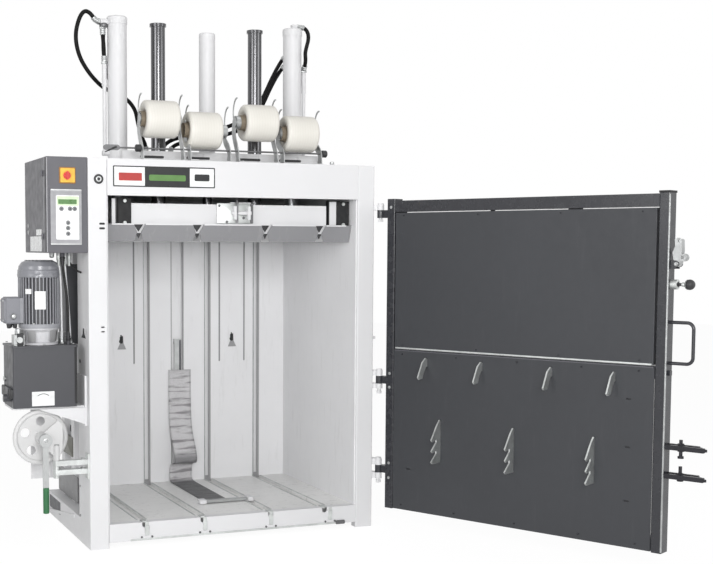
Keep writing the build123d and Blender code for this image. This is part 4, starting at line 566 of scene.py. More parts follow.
def rounded(width, height, corner, steps=5):
    """A rectangle with round corners: each corner's centre plus a quarter circle, anticlockwise."""
    turn = (np.arange(4)[:, None] * np.pi / 2 + np.linspace(0, np.pi / 2, steps)[None, :]).ravel()
    centres = np.repeat([(1, 1), (-1, 1), (-1, -1), (1, -1)], steps, axis=0)
    centres = centres * (np.array([width, height]) / 2 - corner)
    return centres + corner * np.column_stack([np.cos(turn), np.sin(turn)])


def stacked(spot, out, outlines, depths, up=upright):
    """Outlines in the plane across a direction, each at its own depth along it, skinned and capped."""
    out = np.asarray(out, dtype=float)
    up = to_back if abs(out[2]) > 0.9 else up
    across = np.cross(up, out)
    rows = [np.asarray(spot, dtype=float) + o[:, 0:1] * across + o[:, 1:2] * up + d * out
            for o, d in zip(outlines, depths)]
    return np.vstack(rows), closed(len(rows), len(outlines[0]))


def cut_sheet(spot, out, shape, depths, up=upright):
    """One outline, given as rows of (across, up), at both depths: a piece cut from sheet."""
    return stacked(spot, out, [np.array(shape, dtype=float)] * 2, depths, up)


def slab(spot, out, size, depths, rim=None, steps=5):
    """A round-cornered plate of (width, height, corner); the last outline may be (smaller by, corner)."""
    outlines = [rounded(*size, steps)] * len(depths)
    if rim:
        outlines[-1] = rounded(size[0] - rim[0], size[1] - rim[0], rim[1], steps)
    return stacked(spot, out, outlines, depths)


def plate(spot, out, width, height, thickness, corner=3.0, edge=0.6):
    """A thin plate on a face, its back edge at the spot and its front edge rounded off."""
    return slab(spot, out, (width, height, corner), (0, thickness - edge, thickness),
                (2 * edge, max(corner - edge, 0.2)))


def turned(spot, out, profile, count=32):
    """A solid of revolution: rows of (distance along the axis, radius). With a count of six it is a nut."""
    return stacked(spot, out, [ring(radius, count) for _, radius in profile], [depth for depth, _ in profile])


def hoop(spot, out, profile, count=40):
    """A closed outline of (distance along the axis, radius), anticlockwise, turned round the axis."""
    skin, _ = turned(spot, out, profile, count)
    return skin, quads(len(profile), count, wrap_rows=True)


def bolt(spot, out, size):
    """A hexagon head on its washer, for a thread of that size; a domed top takes the sharpness off."""
    return [turned(spot, out, [(-0.3, size * 1.05), (size * 0.14, size * 1.05), (size * 0.17, size)], 18),
            turned(spot, out, [(size * 0.1, size * 0.95), (size * 0.68, size * 0.95),
                               (size * 0.8, size * 0.8)], 6)]


def cap_screw(spot, out, size):
    """A round socket head: a cylinder with a rounded rim and a sunk hexagon."""
    return [turned(spot, out, [(-0.3, size), (size * 0.85, size), (size, size * 0.88), (size, size * 0.5),
                               (size * 0.45, size * 0.46)], 18)]


def around(centre, radius, count, start=0.0):
    """Spots at equal turns on a level circle."""
    x, y, z = centre
    turns = np.arange(count) * 2 * np.pi / count + start
    return [(x + radius * np.cos(turn), y + radius * np.sin(turn), z) for turn in turns]


def together(groups):
    """Several lists, of skins or of spots, as one list."""
    return [item for group in groups for item in group]


def many(maker, spots, out, size):
    """The same fastener or gland at each spot."""
    return together([maker(spot, out, size) for spot in spots])


def carried(line, stations, radii, count=20):
    """A round carried along a line: at each station its radius, square to the line's direction there."""
    line = np.asarray(line, dtype=float)
    reach = np.concatenate([[0.0], np.cumsum(np.linalg.norm(np.diff(line, axis=0), axis=1))])
    centres, ahead, behind = (np.column_stack([np.interp(np.asarray(stations) + shift, reach, line[:, k])
                                               for k in range(3)]) for shift in (0.0, 2.0, -2.0))
    heading = (ahead - behind) / np.linalg.norm(ahead - behind, axis=1)[:, None]
    steady = np.eye(3)[np.argmin(np.abs(heading.sum(axis=0)))]
    first = np.cross(steady, heading)
    first /= np.linalg.norm(first, axis=1)[:, None]
    second = np.cross(heading, first)
    circle = ring(1.0, count)
    skin = (centres[:, None, :] + np.asarray(radii)[:, None, None]
            * (circle[None, :, 0:1] * first[:, None, :] + circle[None, :, 1:2] * second[:, None, :]))
    return skin.reshape(-1, 3), closed(len(stations), count)


def tube(line, radius, rows, sides):
    """A round of one radius carried along the whole of a line."""
    length = np.linalg.norm(np.diff(line, axis=0), axis=1).sum()
    return carried(line, np.linspace(0, length, rows), np.full(rows, radius), sides)


def eased(points, rounds=4):
    """A line with its corners cut again and again, each at a quarter and three quarters of a run."""
    points = np.asarray(points, dtype=float)
    for _ in range(rounds):
        near = 0.75 * points[:-1] + 0.25 * points[1:]
        far = 0.25 * points[:-1] + 0.75 * points[1:]
        middle_points = np.stack([near, far], axis=1).reshape(-1, points.shape[1])
        points = np.vstack([points[:1], middle_points[1:-1], points[-1:]])
    return points


def make_piece(name, skins, finish, body="frame", slot_name=None):
    """One object from several skins in millimetres, smooth but for edges sharper than 35 degrees."""
    points, faces, before = [], [], 0
    for skin, skin_faces in skins:
        points.append(skin)
        faces.extend([[number + before for number in face] for face in skin_faces])
        before += len(skin)
    mesh = bpy.data.meshes.new(name)
    mesh.from_pydata(place(np.vstack(points)).tolist(), [], faces)
    mesh.polygons.foreach_set("use_smooth", np.ones(len(faces), dtype=bool))
    mesh.set_sharp_from_angle(angle=np.radians(35))
    mesh.materials.append(finish)
    piece = bpy.data.objects.new(name, mesh)
    bpy.context.scene.collection.objects.link(piece)
    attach(piece, body)
    slot_name = slot_name or usual_slots.get(finish)
    return piece


print("helpers for skins ready")

# %% [markdown]
# The oil hoses are rubber over steel wire. They spring out of their fittings, sag under their own weight and
# end in crimped sleeves. A NURBS curve bends as evenly as a hose does, so each hose is one spline with the
# route's points as its control points. The sleeves have to follow the hose, so their points are read from
# the same curve without its thickness.

# %% Hoses
hose_width = 0.019
hose_routes = {
    "left_loop_hose": (0.921, ((-520, 415, 2357), (-540, 415, 2357), (-563, 415, 2392), (-592, 415, 2404),
                               (-618, 416, 2368), (-637, 418, 2288), (-620, 422, 2200), (-576, 432, 2132),
                               (-526, 452, 2086), (-478, 484, 2060), (-412, 508, 2046), (-356, 518, 2016),
                               (-322, 522, 1972), (-312, 526, 1920), (-290, 534, 1850), (-264, 545, 1810),
                               (-264, 545, 1767))),
    "left_short_hose": (0.171, ((-508, 415, 2335), (-508, 415, 2299), (-505, 409, 2250), (-504, 408, 2205),
                                (-501, 415, 2179), (-501, 415, 2165))),
    "right_loop_hose": (0.297, ((462, 415, 2395), (480, 415, 2395), (506, 412, 2393), (522, 408, 2368),
                                (520, 402, 2335), (504, 388, 2300), (488, 368, 2266), (490, 366, 2236),
                                (497, 388, 2212), (501, 415, 2194), (501, 415, 2178))),
    "crossing_hose_a": (0.888, ((432, 468, 2262), (432, 500, 2262), (408, 524, 2215), (376, 530, 2152),
                                (350, 532, 2096), (322, 533, 2042), (282, 535, 1992), (226, 537, 1948),
                                (158, 539, 1916), (80, 541, 1894), (0, 542, 1876), (-84, 543, 1858),
                                (-146, 545, 1838), (-182, 545, 1806), (-182, 545, 1767))),
    "crossing_hose_b": (0.843, ((432, 468, 2218), (432, 504, 2218), (410, 542, 2172), (378, 552, 2108),
                                (352, 554, 2052), (324, 555, 1998), (284, 557, 1948), (228, 559, 1906),
                                (160, 561, 1880), (80, 561, 1862), (0, 558, 1848), (-70, 552, 1834),
                                (-118, 547, 1818), (-144, 545, 1796), (-144, 545, 1767))),
}


def sprung_line(name, route, width):
    """A round tube along one open NURBS spline of order three through its end points."""
    curve = bpy.data.curves.new(name, "CURVE")
    curve.dimensions = "3D"
    curve.resolution_u = 12
    spline = curve.splines.new("NURBS")
    points = place(route)
    spline.points.add(len(points) - 1)
    spline.points.foreach_set("co", np.column_stack([points, np.ones(len(points))]).ravel())
    spline.order_u = 3
    spline.use_endpoint_u = True
    cord = bpy.data.objects.new(name, curve)
    bpy.context.scene.collection.objects.link(cord)
    bpy.context.view_layer.update()
    bare = bpy.data.meshes.new_from_object(cord)
    line = np.empty(len(bare.vertices) * 3)
    bare.vertices.foreach_get("co", line)
    bpy.data.meshes.remove(bare)
    line = (line.reshape(-1, 3) - middle) * 1000
    curve.bevel_depth = width / 2
    curve.bevel_resolution = 5
    curve.use_fill_caps = True
    return cord, line


def crimped_end(line):
    """A hexagon nut and a sleeve with three crimps over the first stretch of a hose's line."""
    sleeve = carried(line, (11, 12, 18, 19, 21, 22, 28, 29, 31, 32, 37, 39),
                     (11.5, 13.2, 13.2, 12.2, 12.2, 13.2, 13.2, 12.2, 12.2, 13.2, 13.2, 10.2))
    nut = carried(line, (0.5, 1.5, 10.5, 11.5), (13.5, 15.0, 15.0, 13.5), 6)
    return [nut, sleeve]


hose_finish = moulded("hose_rubber_oil", (0.003, 0.003, 0.003), 0.62, 700.0, 0.00012)
hose_finish.node_tree.nodes["Principled BSDF"].inputs["Specular IOR Level"].default_value = 0.18


def lay_cord(node, cord, route, finish):
    """The spline stands for its CAD node as a cord that runs from one fitting of the machine to another."""
    cord.data.materials.append(finish)
    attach(cord, "frame")
    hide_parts(node)
    print(node, "has", len(route), "points")


for name, (length, route) in hose_routes.items():
    hose, line = sprung_line(name + "_rubber", route, hose_width)
    ends = make_piece(name + "_fittings", crimped_end(line) + crimped_end(line[::-1]), zinc)
    lay_cord(name, hose, route, hose_finish)

# %% [markdown]
# The left cylinder's port is ringed by a dark clamp, and a second short strand runs from it behind the
# barrel. The strand has no joint to follow, so it is a plain piece carried along its own line.

# %% Port clamp and strand
port_clamp = hoop((-503, 415, 2341), upright, [(-9, 10), (-9, 18), (-6, 20), (6, 20), (9, 18), (9, 10)], 28)
make_piece("port_clamp", [port_clamp], dark_zinc)
strand_line = eased(((-500, 430, 2334), (-501, 432, 2290), (-500, 436, 2230), (-492, 444, 2176),
                     (-478, 458, 2130), (-452, 474, 2080)), 3)
make_piece("port_strand", [tube(strand_line, 9.0, 30, 16)], hose_finish, slot_name="hose_rubber")
print("port clamp and strand placed")

# %% [markdown]
# A thinner cable runs from the cabinet's gland down to the tank's level gland. Where a cable leaves a
# housing, a tapered rubber sleeve spreads its bend, so one sits at each end.

# %% Level cable
cable_route = ((-772, 118, 1283), (-772, 118, 1250), (-766, 112, 1190), (-757, 106, 1120), (-752, 104, 1040),
               (-752, 104, 916))
cable_width, cable_length = 0.012, 0.368
cable, cable_line = sprung_line("level_cable_sheath", cable_route, cable_width)
sleeve_stations = (0.5, 2, 12, 13, 15, 16, 22, 23, 25, 26, 32, 33, 40)
sleeve_radii = (10.5, 11.5, 11.5, 9.0, 9.0, 10.0, 9.4, 7.8, 7.8, 8.8, 8.2, 7.2, 6.4)
cable_sleeves = make_piece("level_cable_sleeves", [carried(way, sleeve_stations, sleeve_radii)
                                                   for way in (cable_line, cable_line[::-1])], black_plastic)
lay_cord("level_cable", cable, cable_route, hose_rubber)

# %% [markdown]
# The belt that throws the bale out is a woven strap as wide as a hand. It hangs down the back wall, bulges
# out where it meets the floor and lies along the floor to a steel bar. It is modelled directly: a strip
# carried along a line of points whose corners are eased, with its own UV map in metres, so that the weave
# follows the strip. The line leans sideways a little in the bulge, as slack cloth does.

# %% Woven belt
belt_half, belt_middle, belt_thickness = 60.0, 10.0, 0.004
weft_pitch, warp_pitch = 0.0046, 0.0032
belt_run = eased(((882, 690), (879, 560), (876, 440), (854, 350), (824, 286), (800, 240), (802, 216),
                  (822, 210), (858, 204), (872, 180), (867, 150), (872, 126), (850, 112), (800, 110),
                  (640, 109.8), (470, 109.8), (300, 109.8)))


def belt_finish():
    """Woven polyester: ribs across and along from sines of its UV map; worn, darker on the floor, painted
    shade in folds and at the bend.
    """
    finish, shader = start_finish("webbing_weave", (0.46, 0.45, 0.46), 0.78)
    apart = add_node(finish, "ShaderNodeSeparateXYZ")
    finish.node_tree.links.new(coordinates(finish, output="UV"), apart.inputs[0])
    across, down = apart.outputs[0], apart.outputs[1]
    ribs = [maths(finish, "SINE", maths(finish, "MULTIPLY_ADD", value, 2 * np.pi / pitch, phase))
            for value, pitch, phase in ((across, weft_pitch, 0.0), (down, warp_pitch, 1.0))]
    weave = ranged(finish, maths(finish, "MULTIPLY", *ribs), -1.0, 1.0)
    worn = ranged(finish, noise(finish, 9.0, 4.0), 0.35, 0.7)
    tone = mixed(finish, weave, (0.31, 0.305, 0.315), (0.78, 0.77, 0.78))
    rubbed = mixed(finish, ranged(finish, worn, 0.0, 1.0, 0.0, 0.6), tone, (0.66, 0.65, 0.66))
    squeezed = add_node(finish, "ShaderNodeMapping", Scale=(5.0, 42.0, 1.0))
    finish.node_tree.links.new(coordinates(finish, output="UV"), squeezed.inputs["Vector"])
    # Painted shade: dark streaks where the cloth folds, and a dark band where it bends out over the floor.
    painted_crease_shade = ranged(finish, noise(finish, 1.0, 5.0, vector=squeezed.outputs[0]), 0.50, 0.62, 0.0, 0.75)
    crease_shaded = mixed(finish, painted_crease_shade, rubbed, (0.15, 0.14, 0.15))
    bend_shade_share = maths(finish, "MULTIPLY", ranged(finish, down, 0.425, 0.465, 0.0, 0.75),
                    ranged(finish, down, 0.50, 0.53, 1.0, 0.0))
    bend_shaded = mixed(finish, bend_shade_share, crease_shaded, (0.12, 0.12, 0.125))
    on_floor = ranged(finish, down, 0.62, 0.68, 0.0, 0.82)
    feed(shader, "Base Color", mixed(finish, on_floor, bend_shaded, (0.085, 0.088, 0.09)))
    raised(finish, shader, weave, 0.0006, 0.8)
    return finish


def woven_belt():
    """A strip: its middle line leans by a bell curve round the bulge, and each row spans the width."""
    run = np.asarray(belt_run)
    reach = np.concatenate([[0.0], np.cumsum(np.linalg.norm(np.diff(run, axis=0), axis=1))])
    lean = 9.0 * np.exp(-((reach - 440.0) / 100.0) ** 2)
    hollow = 3.0 * np.exp(-((reach - 430.0) / 90.0) ** 2)
    across = np.linspace(-1.0, 1.0, 9)
    count, width = len(run), len(across)
    points = np.empty((count, width, 3))
    points[:, :, 0] = belt_middle + lean[:, None] + belt_half * across[None, :]
    points[:, :, 1] = run[:, 0:1] - hollow[:, None] * (1 - across[None, :] ** 2)
    points[:, :, 2] = run[:, 1:2]
    mesh = bpy.data.meshes.new("woven_belt")
    faces = quads(count, width, wrap_columns=False)
    mesh.from_pydata(place(points.reshape(-1, 3)).tolist(), [], faces)
    chart = np.empty((count, width, 2))
    chart[:, :, 0] = across[None, :] * belt_half / 1000
    chart[:, :, 1] = reach[:, None] / 1000
    corners = np.empty(len(mesh.loops), dtype=np.int32)
    mesh.loops.foreach_get("vertex_index", corners)
    layer = mesh.uv_layers.new(name="weave")
    layer.data.foreach_set("uv", chart.reshape(-1, 2)[corners].ravel())
    mesh.polygons.foreach_set("use_smooth", np.ones(len(faces), dtype=bool))
    mesh.materials.append(belt_finish())
    belt = bpy.data.objects.new("woven_belt", mesh)
    bpy.context.scene.collection.objects.link(belt)
    thick = belt.modifiers.new("thickness", "SOLIDIFY")
    thick.thickness = belt_thickness
    thick.offset = 0.0
    print("belt is", round(float(reach[-1])), "mm long with", len(faces), "faces")
    return belt, float(reach[-1]) / 1000


belt, belt_length = woven_belt()
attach(belt, "frame")
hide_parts("ejector_webbing")

# %% [markdown]
# Bolts hold the sheets together. They are the same small pieces again and again, so they are placed from
# lists of spots and joined into one object for each body they ride on.

# %% Bolts on the frame
press_line = 415
column_spots, cylinder_spots = (-243, 243), (-440, 440)
bolt_groups = [
    (bolt, together([around((x, press_line, 2364), 22, 4, 0.6) for x in column_spots]), upright, 5),
    (bolt, together([around((x, press_line, 1745.7), 42, 4, 0.4) for x in column_spots]), upright, 5.5),
    (cap_screw, together([around((x, press_line, 1706), 62, 6, 0.3) for x in cylinder_spots]), upright, 7),
    (cap_screw, [(x, y, 1751) for x in (-287, -223, -223, -137) for y in (524, 566)], upright, 5),
    (bolt, [(x, 173, 1706.3) for x in (-455, -235, 0, 235, 455)], upright, 6),
    (bolt, [(x + side * 86, 50, 1706.2) for x in (-333, -115, 115, 333) for side in (-1, 1)], upright, 5),
    (bolt, [(-685, y, z) for y, z in ((165, 663), (182, 253), (182, 120))], to_left, 6),
    (bolt, [(685, y, z) for y in (60, 150) for z in (60, 1650)], to_right, 6),
    (bolt, [(x, 940, z) for x in (-570, 570) for z in (60, 400, 1150, 1600)], to_back, 7),
]
for side in (-1, 1):
    wall_spots = [(side * 630, y, z) for y in (359, 564, 769) for z in (150, 900, 1650)]
    bolt_groups.append((bolt, wall_spots, (side, 0, 0), 5))
make_piece("frame_bolts", together([many(*group) for group in bolt_groups]), zinc)
print(len(bolt_groups), "groups of frame bolts placed")

# %% [markdown]
# The head carries a plain plate of colour fields where a machine's badge would sit. It is thin sheet stuck on
# the fascia: a rounded plate in a frame, with three flat fields on it and a green one over the dark one, and
# it says nothing. On the left post sit a plug and two short slots drawn as dark painted shade, on the head's
# edge a turned knob.

# %% Badge plate and post plug
badge_white = moulded("badge_white", (0.80, 0.81, 0.81), 0.3)
badge_red = moulded("badge_red", (0.40, 0.035, 0.03), 0.4)
badge_dark = moulded("badge_dark", (0.008, 0.009, 0.010), 0.5, 900.0, 0.00004)
badge_green = moulded("badge_green", (0.10, 0.22, 0.06), 0.4)
badge_middle = np.array([-341.0, 0.0, 1631.0])
for name, shift, sizes, finish in (
        ("frame", (0, 0, 0), (466, 90, 1.4, 4), badge_dark),
        ("plate", (0, -1.0, 0), (456, 80, 0.9, 2, 0.3), badge_white),
        ("field_dark", (12, -1.6, 0), (206, 80, 0.8, 1, 0.3), badge_dark),
        ("field_red", (-156, -1.6, -2), (104, 34, 0.8, 3, 0.3), badge_red),
        ("field_green", (12, -2.2, -4), (168, 26, 0.7, 6, 0.3), badge_green),
        ("field_black", (172, -1.6, 0), (70, 30, 0.8, 6, 0.3), badge_dark)):
    make_piece("badge_" + name, [plate(badge_middle + shift, to_front, *sizes)], finish)
plug = turned((-638, 0.3, 1616), to_front, [(0, 21), (2.5, 21), (4.5, 19), (5.2, 13), (4.6, 12.5), (4.6, 5),
                                            (5.6, 4.4), (6.0, 2.0)])
make_piece("post_plug", [plug], black_plastic)
plug_ring = hoop((-638, -5.0, 1616), to_front, [(0, 7), (0, 12), (1.4, 12), (2.0, 9.5), (1.4, 7)], 28)
make_piece("post_plug_ring", [plug_ring], zinc)
# Painted shade: the post's two slots are dark sheets.
slot_shade_sheets = [slab((-624, 0, z), to_front, (25, 9, 4), (-0.4, 0.7)) for z in (1405, 1425)]
make_piece("post_slot_shade_sheets", slot_shade_sheets, pit_dark, slot_name="black_plastic")
edge_knob = turned((470, 12, 1706.0), upright, [(0, 9), (2, 10), (10, 10), (13, 7.5), (14, 3)])
make_piece("head_edge_knob", [edge_knob], zinc)
print("badge plate, plug and slot edges placed")

# %% [markdown]
# The switch cabinet's front has a yellow plate round the main switch, and a membrane keypad: one printed
# sheet with a display window and round keys that give only a little under a finger. It is built in layers
# of thin plates, the keys as low domes. Nothing on it is lettering. The cabinet's side has two blank labels,
# two plugs and the gasket of its cover, and the cover's folds carry pale strips of painted highlight.

# %% Switch plate and keypad
switch_yellow = moulded("switch_yellow", (0.80, 0.47, 0.05), 0.35)
switch_amber = moulded("switch_amber", (0.30, 0.13, 0.012), 0.4)
keypad_sheet = moulded("keypad_sheet", (0.83, 0.84, 0.84), 0.3)
band_green = moulded("band_green", (0.60, 0.74, 0.50), 0.35)
display_green = moulded("display_green", (0.085, 0.20, 0.06), 0.3)
key_dark = moulded("key_dark", (0.10, 0.105, 0.11), 0.4)
for name, spot, sizes, finish, slot_name in (
        ("switch_plate_rim", (-773, 5.2, 1629), (71, 69, 3.0, 4, 1.0), switch_amber, None),
        ("switch_plate", (-772, 2.4, 1629), (62, 60, 1.4, 4, 0.6), switch_yellow, None),
        ("keypad_sheet_piece", (-772, 2.1, 1450), (103, 188, 0.8, 5, 0.3), keypad_sheet, "panel_white"),
        ("keypad_band", (-772, 1.4, 1520), (94, 40, 0.6, 4, 0.2), band_green, None),
        ("keypad_display", (-774, 0.9, 1517), (80, 20, 0.7, 2, 0.2), display_green, None)):
    make_piece(name, [plate(spot, to_front, *sizes)], finish, "cabinet_cover", slot_name)
switch_collar = hoop((-775, 1.2, 1628), to_front, [(0, 22), (0, 29), (2.2, 29), (3.2, 28), (3.2, 22)])
make_piece("switch_collar", [switch_collar], switch_yellow, "cabinet_cover")


def key(x, z):
    """A printed ring round a low dome."""
    return [hoop((x, 1.4, z), to_front, [(0, 7.2), (0, 9.6), (0.7, 9.6), (0.9, 8.4), (0.7, 7.2)], 24),
            turned((x, 1.4, z), to_front, [(0, 6.6), (0.5, 6.6), (1.1, 4.5), (1.3, 1.5)], 24)]


key_spots = ((-800, 1487), (-763, 1487), (-743, 1487), (-772, 1428), (-772, 1405), (-772, 1381))
make_piece("keypad_keys", together([key(x, z) for x, z in key_spots]), key_dark, "cabinet_cover")
side_labels = [plate((-863.9, 230, 1338), to_left, 244, 66, 0.8, 3, 0.3),
               plate((-863.9, 165, 1388), to_left, 112, 26, 0.8, 3, 0.3)]
make_piece("cabinet_side_labels", side_labels, badge_white)
side_plugs = [turned((-863.8, 394, z), to_left, [(0, 11), (1.6, 11), (2.4, 9)], 20) for z in (1389, 1419)]
make_piece("cabinet_side_plugs", side_plugs, zinc)
make_piece("cabinet_screws", many(cap_screw, [(x, 73.6, 1708) for x in (-850, -700)], upright, 4), zinc)
gasket = slab((-864, 17, 1503), to_left, (9, 402, 2), (-0.4, 0.5))
make_piece("cabinet_door_gasket", [gasket], pit_dark, "cabinet_cover", "black_plastic")
# Painted highlights: pale strips along the cover's folds.
fold_highlights = [slab((-864, 58, 1503), to_left, (6, 402, 2), (-0.4, 0.5)),
                slab((-861.5, 5, 1503), to_front, (4, 402, 1.5), (-0.4, 0.5))]
make_piece("cabinet_fold_highlights", fold_highlights, panel_grey, "cabinet_cover", "unit_grey")
panel_rim = [slab((-780, 0.2, z), to_front, (134, 5, 2), (-0.4, 1.0)) for z in (1567, 1337)]
make_piece("keypad_rim", panel_rim, zinc, "cabinet_cover")
print("keypad has", len(key_spots), "keys")

# %% [markdown]
# Under the cabinet hang cable glands with plated collars, and two pale pipes run down beside the motor to the
# tank. A third gland sends a cable to the post, and a duct for cables stands behind the motor. A gland is a
# hexagon nut with a rounded cap, turned like a bottle's neck.

# %% Glands, pale pipes and duct
cabinet_foot, tank_top = 1299.2, 903.8


def gland(spot, out, size=11.0):
    """A hexagon body with a ribbed cap that narrows to the cable."""
    return [turned(spot, out, [(-0.4, size * 1.1), (size * 0.6, size * 1.1), (size * 0.75, size * 0.95)], 6),
            turned(spot, out, [(size * 0.7, size * 0.95), (size * 1.5, size * 0.95),
                               (size * 1.9, size * 0.75), (size * 2.0, size * 0.5)], 20)]


pipe_grey = moulded("pipe_grey", (0.66, 0.67, 0.68), 0.35)
pipe_routes = {
    "pale_pipe_a": ((-786, 128, 1299), (-786, 128, 1270), (-779, 122, 1180), (-778, 120, 1050),
                    (-777, 118, 960), (-777, 118, 904)),
    "pale_pipe_b": ((-757, 140, 1299), (-757, 140, 1262), (-752, 140, 1180), (-740, 140, 1040),
                    (-736, 138, 950), (-736, 138, 904)),
}
for name, route in pipe_routes.items():
    make_piece(name, [tube(eased(route, 3), 4.5, 28, 14)], pipe_grey)
cable_exits = ((-786, 128), (-757, 140), (-735, 150))
glands = many(gland, [(x, y, cabinet_foot) for x, y in (*cable_exits, (-812, 150))], -upright, 11.0)
glands += many(gland, [(x, y, tank_top) for x, y in ((-777, 118), (-736, 138))], upright, 9)
make_piece("cable_glands", glands, zinc)
collars = [turned((x, y, 1299), -upright, [(14, 10.5), (30, 10.5), (33, 8.5), (52, 8), (58, 6)], 20)
           for x, y in cable_exits]
make_piece("gland_collars", collars, pale_zinc)
post_cable = eased(((-735, 150, 1270), (-733, 148, 1258), (-722, 140, 1236), (-704, 132, 1220),
                    (-686, 128, 1212)), 3)
make_piece("post_cable", [tube(post_cable, 4.2, 20, 12)], hose_rubber, slot_name="hose_rubber")
duct_grey = powder_coat("duct_grey", (0.060, 0.062, 0.068), 0.5, 0.03)
duct = slab((-630, 494, 1060), to_left, (150, 370, 8), (-0.5, 58, 62), (8, 6))
make_piece("cable_duct", [duct], duct_grey, slot_name="dark_paint")
print("glands, cable and duct placed")

# %% [markdown]
# The motor hangs over the tank on a bell casting. Its cowl has slots for air on top, drawn as dark painted
# shade, and a band round its foot, its body carries two plates, and the flange is bolted down. The bell has
# windows through which the coupling can be reached, drawn as grey patches of painted shade that follow its
# round. The terminal box has a screwed lid and glands, and a black coil stands at the bell's foot.

# %% Motor details
def round_patch(low, high, radius_low, radius_high, turn_from, turn_to, count=10, thick=1.2, sunk=3):
    """A patch on a cone round the motor's axis between two heights and two turns, in degrees from +X."""
    turn = np.radians(np.linspace(turn_from, turn_to, count))
    across, back = np.cos(turn), np.sin(turn)
    rows = [np.column_stack([motor_axis[0] + radius * across, motor_axis[1] + radius * back,
                             np.full(count, float(height))])
            for height, radius in ((low, radius_low - sunk), (low, radius_low + thick),
                                   (high, radius_high + thick), (high, radius_high - sunk))]
    faces = quads(4, count, wrap_columns=False, wrap_rows=True)
    ends = [[3 * count, 2 * count, count, 0], [count - 1, 2 * count - 1, 3 * count - 1, 4 * count - 1]]
    return np.vstack(rows), faces + ends


window_turns = (-128, -172, -52, 8, 70, 130)
# A dark finish for painted shade inside slots and holes.
hole_shade_dark = moulded("hole_shade_dark", (0.022, 0.022, 0.025), 0.6)
# Painted shade: grey patches in the bell's windows.
window_shade_patches = [round_patch(912, 962, 74.5, 81.5, turn - 13, turn + 13) for turn in window_turns]
make_piece("bell_window_shade_patches", window_shade_patches, shade_grey, slot_name="motor_cast")
coil = slab((-966, 88, 926), to_front, (30, 54, 5), (-30, 4, 6), (2, 4))
make_piece("valve_coil", [coil], black_plastic)
flange_spots = [(motor_axis[0] + 88 * np.cos(a), motor_axis[1] + 88 * np.sin(a), 991) for a in
                np.radians((-118, -62, -10, 62, 118, 172))]
make_piece("motor_bolts", many(bolt, flange_spots, upright, 6.5), zinc)
cowl_band = hoop((*motor_axis, 1199), upright, [(0, 91), (0, 94.2), (9, 94.2), (11, 93), (11, 91)])
make_piece("cowl_band", [cowl_band], cowl_paint, slot_name="black_plastic")
slot_rings = ((22, 8), (40, 14), (58, 20))
# Painted shade: the cowl's air slots are dark squares.
cowl_slot_shades = [slab(spot, upright, (9, 9, 3), (0, 0.8), steps=3) for radius, count in slot_rings
              for spot in around((*motor_axis, 1266.6), radius, count)]
make_piece("cowl_slot_shades", cowl_slot_shades, hole_shade_dark, slot_name="black_plastic")
motor_plates = [round_patch(1056, 1134, 91.2, 91.2, -113, -84, 8, 1.4),
                round_patch(1122, 1144, 91.2, 91.2, -141, -123, 6, 1.4)]
make_piece("motor_plates", motor_plates, badge_white)
box_lid = slab((-1021, 165, 1050), to_left, (84, 104, 16), (-0.5, 5, 7), (4, 14))
make_piece("terminal_lid", [box_lid], motor_cast, slot_name="motor_cast")
lid_corners = [(-1028, 165 + dy, 1050 + dz) for dy in (-32, 32) for dz in (-42, 42)]
make_piece("terminal_screws", many(cap_screw, lid_corners, to_left, 3.6), zinc)
make_piece("terminal_gland", gland((-990, 117.2, 1026), to_front, 12), zinc)
under_spots = ((-1004, 140, 992.4), (-978, 140, 992.4), (-990, 185, 992.4))
make_piece("terminal_under_glands", many(gland, under_spots, -upright, 10), black_plastic)
print("motor details placed")

# %% [markdown]
# The tank is folded sheet. Its front has a plain white plate with an arc on it, its lid is screwed on, and
# its left side carries a drain block with a plug above it. Two valves stand on the valve group beside the
# bell.

# %% Tank details
make_piece("tank_label", [plate((-876, 52.1, 671), to_front, 98, 62, 0.8, 2, 0.3)], badge_white)
arc_turn = np.radians(np.linspace(50, 130, 14))
arc = np.column_stack([-876 + 38 * np.cos(arc_turn), np.full(14, 51.2), 656 + 36 * np.sin(arc_turn)])
make_piece("tank_label_arc", [tube(arc, 1.6, 14, 8)], key_dark)
lid_spots = [(x, y, 904) for x in (-993, -739) for y in (66, 264)] + [(-866, y, 904) for y in (62, 268)]
make_piece("tank_lid_bolts", many(bolt, lid_spots, upright, 5), zinc)
drain_block = slab((-1005, 165, 694), to_left, (212, 44, 6), (-0.5, 10, 12), (6, 5))
make_piece("drain_block", [drain_block], black_plastic)
drain_plug = turned((-1005, 240, 745), to_left, [(-0.5, 13), (5, 13), (7, 11), (9, 5)], 20)
make_piece("drain_plug", [drain_plug], zinc)
tank_edge = slab((-732, 52, 770), to_front, (11, 250, 2), (-0.4, 0.8))
make_piece("tank_edge_seal", [tank_edge], pit_dark, slot_name="black_plastic")
valve_profile = [(-1, 8), (10, 8), (11, 6), (16, 6), (17, 10), (25, 10), (27, 7)]
lever_valves = [turned((-971, y, 946), upright, valve_profile, 20) for y in (100, 124)]
make_piece("lever_valves", lever_valves, steel, slot_name="steel")
print("tank details placed")

# %% [markdown]
# Four reels of strap hang over the head. Each is one long strap wound on a core, so its shoulders are round
# and its ends dish in towards a core of brown card. The roll is a solid of revolution, and a card sleeve at
# each end closes the gap between the core and the cradle's arm. Both turn with the reel.

